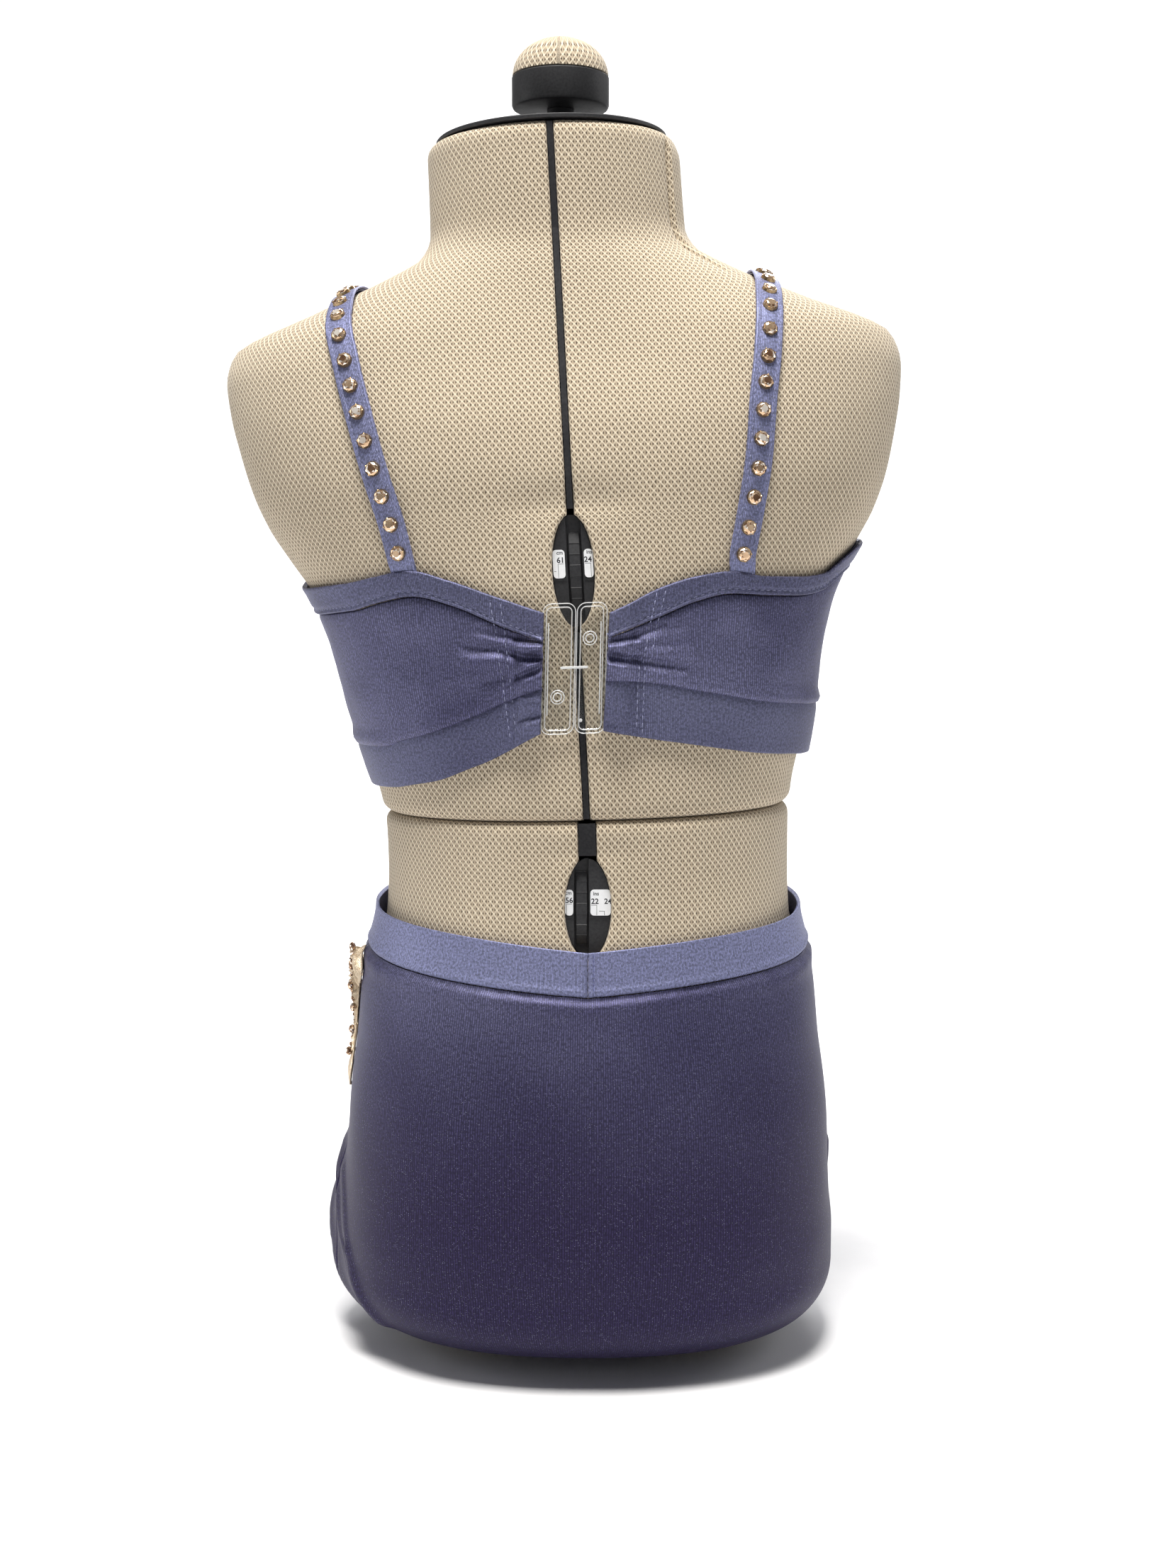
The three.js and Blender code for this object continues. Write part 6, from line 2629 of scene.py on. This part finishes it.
@dataclass
class Brief:
    """Hip brief: waistband, back, front and a gusset under the form."""

    fitting: Fitting
    palette: Palette
    band_thickness: float = 1.7
    thickness: float = 1.3
    seam_gap: float = 0.3
    join_turn: float = 1.6

    def band_lift(self, turn: np.ndarray, reach: np.ndarray) -> np.ndarray:
        """Lift of the waistband, nipped at its join and along its lower seam.

        Args:
            turn: Turns about the form.
            reach: Heights, or reaches round the corner.

        Returns:
            The lift at each place.
        """
        fit = self.fitting
        join = -0.45 * bell(turn, self.join_turn, 0.3)
        above = reach - fit.waist_bottom(turn)
        low = 0.6 * bell(above, 2.0, 1.1) - 0.5 * bell(above, 0.0, 0.8)
        angle = np.radians(turn)
        wave = 0.06 * np.sin(angle * 13) + 0.048 * np.sin(angle * 29 + reach * 0.15)
        return fit.waist_stand(turn) + join + low + wave

    def cloth_lift(self, turn: np.ndarray, reach: np.ndarray) -> np.ndarray:
        """Lift of the brief, with its fine folds and the puffed roll under its band.

        Args:
            turn: Turns about the form.
            reach: Heights, or reaches round the corner.

        Returns:
            The lift at each place.
        """
        fit = self.fitting
        around = once_round(turn)
        below = fit.waist_bottom(around) - reach
        roll = 0.6 * bell(below, 7.0, 3.4)
        nip = -0.9 * bell(below, 1.2, 1.6)
        angle = np.radians(around)
        pucker = 0.16 * np.sin(angle * 46) * bell(below, 3.5, 4.0)
        fine = summed(FINE_BRIEF_FOLDS, around, reach)
        wave = 0.14 * np.sin(angle * 7 + reach * 0.045) + 0.1 * np.sin(angle * 15 - reach * 0.06)
        wave = wave * smoothstep(reach, 0, 30)
        lift = fit.brief_lift(turn, reach) + roll + nip + pucker + fine + wave
        return np.maximum(lift, -0.6)

    def panels(self) -> list[Strip]:
        """Waistband, back and front.

        Returns:
            The pieces, not built yet.
        """
        fit = self.fitting
        gap = self.seam_gap / 2
        seam = gap / DEGREE_LENGTH
        band_turns = np.concatenate([np.linspace(seam, 6, 22), np.linspace(8, 360 - seam, 170)])
        left = fit.left_seam
        right = fit.right_seam
        back_turns = np.r_[np.linspace(left + seam, 312, 44), np.linspace(313.5, 360 + right - seam, 80)]
        front_turns = np.r_[np.linspace(right + seam, 238, 84), np.linspace(239, left - seam, 44)]
        rows = np.r_[np.linspace(0, 0.24, 26), np.linspace(0.255, 0.93, 58), np.linspace(0.94, 1.0, 12)]
        under = ("form_skin_lower",)
        # The waistband takes the lighter satin copy, whose extra lightness is painted sheen
        waist = self.palette.waist
        band_cut = Cut("brief_waistband", waist, "satin_band", ("waistband",), self.band_thickness, under)
        low = lambda turn: fit.waist_bottom(turn) + gap
        band = Strip(band_cut, band_turns, low, fit.waist_top, self.band_lift, np.linspace(0, 1, 18), 0.6)
        high = lambda turn: fit.waist_bottom(once_round(turn)) - gap
        made = [band]
        for word, turns in (("back", back_turns), ("front", front_turns)):
            cut = Cut(f"hip_{word}", self.palette.satin, "satin", (f"brief_{word}",), self.thickness, under)
            made.append(Strip(cut, turns, fit.leg_edge, high, self.cloth_lift, rows, 0.4))
        return made

    def gusset(self) -> None:
        """Builds the gusset that passes under the form."""
        fit = self.fitting
        shape = fit.shape

        def place(turn: np.ndarray, share: np.ndarray) -> np.ndarray:
            """Placed points between the rear and front leg seams.

            Args:
                turn: Turns about the form.
                share: Share from 0 to 1.

            Returns:
                The placed points.
            """
            mirror = 180 - turn * 0.999
            lift = np.full(turn.shape, fit.clearance + self.thickness)
            rear = shape.off(turn, fit.leg_edge(turn) - 0.3, lift)
            fore = shape.off(mirror, fit.leg_edge(mirror) - 0.3, lift)
            return shape.placed(rear + (fore - rear) * share[:, None])

        def lay(turn: np.ndarray, share: np.ndarray) -> np.ndarray:
            """Lengths across and along the gusset, in metres."""
            return np.stack([turn * 1.2 * MM, share * 110 * MM], -1)

        columns = np.linspace(-28, 28, 30)
        rows = np.linspace(0, 1, 24)
        bm = mapped_grid(columns, rows, place, lay)
        bm.normal_update()
        if sum(face.normal.z for face in bm.faces) > 0:
            bmesh.ops.reverse_faces(bm, faces=bm.faces[:])
        under = ("form_skin_lower",)
        cut = Cut("hip_gusset", self.palette.satin, "satin", ("brief_gusset",), self.thickness, under)
        cut.made(bm, len(columns), len(rows))

    def build(self) -> None:
        """Builds the brief and the stitches of the waistband's join."""
        fit = self.fitting
        for strip in self.panels():
            strip.build(fit)
        self.gusset()
        heights = np.linspace(fit.waist_bottom(0) + 0.8, fit.waist_top(0) - 0.6, 30)
        turns = np.full(30, self.join_turn)
        lift = fit.clearance + self.band_lift(turns, heights) + self.band_thickness + 0.05
        points = fit.shape.placed(fit.shape.off(turns, heights, lift))
        line = (points, fit.shape.normal(turns, heights))
        Stitching("waistband_join", self.palette.dark_thread, 1.5, 0.5, 0.5, 0.35).build([line], "satin_band")


@dataclass
class LeafSpray:
    """Gold embroidered leaf spray with stones, on the wearer's left hip."""

    fitting: Fitting
    brief: Brief
    palette: Palette
    seat: float = 0.1
    leaf_length: float = 17.0
    leaf_width: float = 8.4
    leaf_pitch: float = 18.0
    leaf_spread: float = 42.0
    leaf_root: float = 2.0
    leaf_wall: float = 0.7
    run_length: float = 1.85
    stems: tuple[tuple[tuple[float, float], ...], ...] = (
        ((-2, 165), (3, 154), (7, 143), (8, 131), (6, 117)),
        ((2, 158), (22, 151), (45, 148), (68, 152), (88, 160)),
        ((6, 147), (24, 137), (40, 134), (55, 137)),
    )

    def surface(self, run: np.ndarray, height: np.ndarray, rise: np.ndarray) -> np.ndarray:
        """Placed points above the brief's outer face.

        Args:
            run: Millimetres forward from the side seam.
            height: Heights on the form.
            rise: Distances off the cloth.

        Returns:
            The points.
        """
        fit = self.fitting
        run, height, rise = alike(run, height, rise)
        turn = fit.left_seam - run / self.run_length
        lift = fit.clearance + self.brief.cloth_lift(turn, height) + self.brief.thickness + self.seat
        return fit.shape.placed(fit.shape.off(turn, height, lift + rise))

    def padding(self, height: Any) -> np.ndarray:
        """How far the padded leaves near the waist stand up."""
        return 3.2 * smoothstep(height, 132.0, 153.0)

    def stem_points(self, stem: Sequence[tuple[float, float]], count: int) -> np.ndarray:
        """Evenly spaced places along a stem's smooth line.

        Args:
            stem: Run and height of its knots.
            count: Number of places.

        Returns:
            Run and height of each place.
        """
        rows = np.array(stem, float)
        steps = np.linalg.norm(np.diff(rows, axis=0), axis=1)
        marks = np.concatenate([[0.0], np.cumsum(steps)])
        even = np.linspace(0, marks[-1], count)
        curves = [Curve(tuple(marks), tuple(rows[:, axis])) for axis in range(2)]
        return np.stack([curve(even) for curve in curves], -1)

    def leaf(self, spot: np.ndarray, angle: float, scale: float = 1.0) -> Mesh:
        """One pointed leaf, crowned along its vein.

        Args:
            spot: Run and height of its root.
            angle: Direction it points in, in the cloth.
            scale: Its size against a full leaf.

        Returns:
            The leaf as a closed shape.
        """
        ahead = np.array([math.cos(angle), math.sin(angle)])
        aside = np.array([-ahead[1], ahead[0]])

        def flat(share: np.ndarray, cross: np.ndarray) -> np.ndarray:
            """Run and height of each point of the leaf.

            Args:
                share: Places along the leaf, from 0 to 1.
                cross: Places across, from -1 to 1.

            Returns:
                Run and height of each point.
            """
            half = 0.5 * self.leaf_width * scale * np.sin(math.pi * (0.03 + 0.94 * share)) ** 0.8
            along = share * self.leaf_length * scale - self.leaf_root
            return spot + along[:, None] * ahead + (cross * half)[:, None] * aside

        def place(share: np.ndarray, cross: np.ndarray) -> np.ndarray:
            """Placed points of the leaf's outer face.

            Args:
                share: Share from 0 to 1.
                cross: Places across, from -1 to 1.

            Returns:
                The placed points.
            """
            places = flat(share, cross)
            high = 1.7 + self.padding(places[:, 1])
            crown = (1 - np.abs(cross) ** 1.6) * high * np.sin(math.pi * np.clip(share, 0.04, 0.96))
            vein = -0.6 * bell(cross, 0.0, 0.10)
            return self.surface(places[:, 0], places[:, 1], 0.9 + crown + vein)

        def lay(share: np.ndarray, cross: np.ndarray) -> np.ndarray:
            """Slanting thread direction, in metres."""
            return np.stack([(share * self.leaf_length - np.abs(cross) * 3.0) * MM, cross * 4.0 * MM], -1)

        return mapped_grid(np.linspace(0, 1, 15), np.linspace(-1, 1, 13), place, lay)

    def build(self) -> None:
        """Builds stems, leaves, beads and stones."""
        parts: list[Mesh] = []
        for stem in self.stems:
            length = float(np.sum(np.linalg.norm(np.diff(np.array(stem, float), axis=0), axis=1)))
            places = self.stem_points(stem, 60)
            ways = np.gradient(places, axis=0)
            ways /= np.linalg.norm(ways, axis=1, keepdims=True)
            aside = np.stack([-ways[:, 1], ways[:, 0]], -1)

            def place(cross: np.ndarray, row: np.ndarray) -> np.ndarray:
                """Placed points of a stem's cord.

                Args:
                    cross: Places across, from -1 to 1.
                    row: Values of the rows.

                Returns:
                    The placed points.
                """
                index = row.astype(int)
                spot = places[index] + aside[index] * (cross * 1.3)[:, None]
                rope = 1 + 0.18 * np.sin(row * 2.2 + cross * 2.0)
                high = 2.2 + self.padding(spot[:, 1])
                rise = high * np.sqrt(np.maximum(1 - cross**2, 0)) * rope
                return self.surface(spot[:, 0], spot[:, 1], 0.4 + rise)

            def lay(cross: np.ndarray, row: np.ndarray) -> np.ndarray:
                """Lengths along and across a stem, in metres."""
                return np.stack([(row * 1.2 + cross * 2.0) * MM, cross * MM], -1)

            parts.append(mapped_grid(np.linspace(-1, 1, 9), np.arange(60, dtype=float), place, lay))
            count = int(length // self.leaf_pitch)
            for number in range(count + 1):
                index = int(round(number / count * 59))
                angle = math.atan2(ways[index, 1], ways[index, 0])
                lean = math.radians(self.leaf_spread) * (1 if number % 2 else -1)
                parts.append(self.leaf(places[index], angle + (0 if number == count else lean)))
                if number != count:
                    parts.append(self.leaf(places[min(index + 5, 59)], angle - lean * 1.15, 0.62))
        leaves = joined(parts)
        face_outward(leaves)
        made = object_from("hip_leaf_spray", leaves, self.palette.gold)
        walled(made, self.leaf_wall)
        settle(made, "applique", "hip_applique")
        self.stones()

    def stones(self) -> None:
        """Builds small stones and seed beads along the stems."""
        chance = random.Random(7)
        bm = bmesh.new()
        for stem in self.stems:
            for number, (run, height) in enumerate(self.stem_points(stem, 26)):
                side = chance.uniform(-2.4, 2.4)
                large = number % 5 == 0
                radius = 2.1 if large else chance.uniform(0.7, 1.1)
                away = 0.0 if large else side
                seat = 2.2 + radius * 0.4 + 0.8 * float(self.padding(height))
                spot = Vector(self.surface(run + away, height + away * 0.6, seat))
                above = Vector(self.surface(run + away, height + away * 0.6, seat + 4.0))
                matrix = oriented(spot, Vector((0, 0.3, 1)), above - spot, (MM, MM, 0.75 * MM))
                bmesh.ops.create_icosphere(bm, subdivisions=1 + large, radius=radius, matrix=matrix)
        # Each facet takes at random the amber finish, the painted highlight or the painted shade
        for face in bm.faces:
            face.material_index = chance.choice((0, 1, 2, 2))
        settle(object_from("hip_spray_stones", bm, *self.palette.stones(), smooth=False), "applique")


# Studio


@dataclass
class Studio:
    """Plain pale floor, soft lights and the camera behind the form."""

    distance: float = 0.900
    eye_height: float = 0.335
    pitch: float = 5.24
    lens: float = 45.41

    def floor(self) -> None:
        """Pale floor that rises softly behind the object."""
        bm = bmesh.new()
        bmesh.ops.create_grid(bm, x_segments=40, y_segments=60, size=3.0)
        for vertex in bm.verts:
            past = max(vertex.co.y - 1.2, 0.0)
            vertex.co.z = 0.9 * past * past
        tones = ((0.86, 0.86, 0.87), (0.82, 0.82, 0.83))
        finish = Plain("pale_floor", *tones, 0.8, grain=30.0, relief=0.0, specular=0.2)
        object_from("studio_floor", bm, finish.material())

    def light(
        self,
        name: str,
        place: tuple[float, float, float],
        size: float,
        power: float,
        warm: Colour,
        aim: tuple[float, float, float] = (0.0, 0.0, 0.30),
    ) -> None:
        """Adds a soft area light.

        Args:
            name: Name of the light.
            place: Where it stands, in metres.
            size: Side of its square.
            power: Its power in watts.
            warm: Its colour.
            aim: What it points at.
        """
        data = bpy.data.lights.new(name, "AREA")
        data.shape = "SQUARE"
        data.size = size
        data.energy = power
        data.color = warm
        made = bpy.data.objects.new(name, data)
        made.location = place
        way = Vector(aim) - Vector(place)
        made.rotation_euler = way.to_track_quat("-Z", "Y").to_euler()
        bpy.context.scene.collection.objects.link(made)

    def build(self) -> None:
        """Builds the floor, the lights, the world and the camera."""
        self.floor()
        white = (1.0, 1.0, 1.0)
        self.light("key", (-0.12, -0.58, 2.2), 0.75, 73.0, (1.0, 0.98, 0.95))
        self.light("fill", (0.6, -1.7, 0.8), 0.9, 2.0, (0.96, 0.97, 1.0))
        self.light("rim_left", (-1.3, 0.1, 0.45), 0.7, 3.0, white, (-0.1, 0.0, 0.1))
        self.light("rim_right", (1.3, 0.35, 0.8), 0.7, 4.0, white)
        self.light("front", (0.2, 1.5, 1.6), 1.0, 22.0, white)
        self.light("backdrop", (0.0, 1.0, 1.9), 1.2, 30.0, white, (0.0, 2.6, 1.1))
        world = bpy.data.worlds.new("studio_world")
        world.use_nodes = True
        sky = world.node_tree.nodes["Background"]
        sky.inputs[0].default_value = (0.93, 0.95, 1.0, 1.0)
        sky.inputs[1].default_value = 0.10
        bpy.context.scene.world = world
        bpy.context.scene.view_settings.view_transform = "Standard"
        camera = bpy.data.cameras.new("camera")
        camera.sensor_fit = "AUTO"
        camera.sensor_width = 36.0
        camera.lens = self.lens
        camera.clip_start = 0.05
        camera.clip_end = 30.0
        made = bpy.data.objects.new("camera", camera)
        made.location = (0.0, -self.distance, self.eye_height)
        made.rotation_euler = (math.radians(90 - self.pitch), 0.0, 0.0)
        bpy.context.scene.collection.objects.link(made)
        bpy.context.scene.camera = made


def main() -> None:
    """Builds every assembly in order."""
    logging.basicConfig(level=logging.INFO, format="%(message)s")
    shape = FormShape()
    palette = Palette.built()
    fitting = Fitting(shape)
    DressForm(shape, palette).build()
    CropTop(fitting, palette).build()
    for side in Side:
        Strap(side, fitting, palette).build()
    Clasp(shape, palette).build()
    brief = Brief(fitting, palette)
    brief.build()
    LeafSpray(fitting, brief, palette).build()
    Studio().build()


if __name__ == "__main__":
    main()
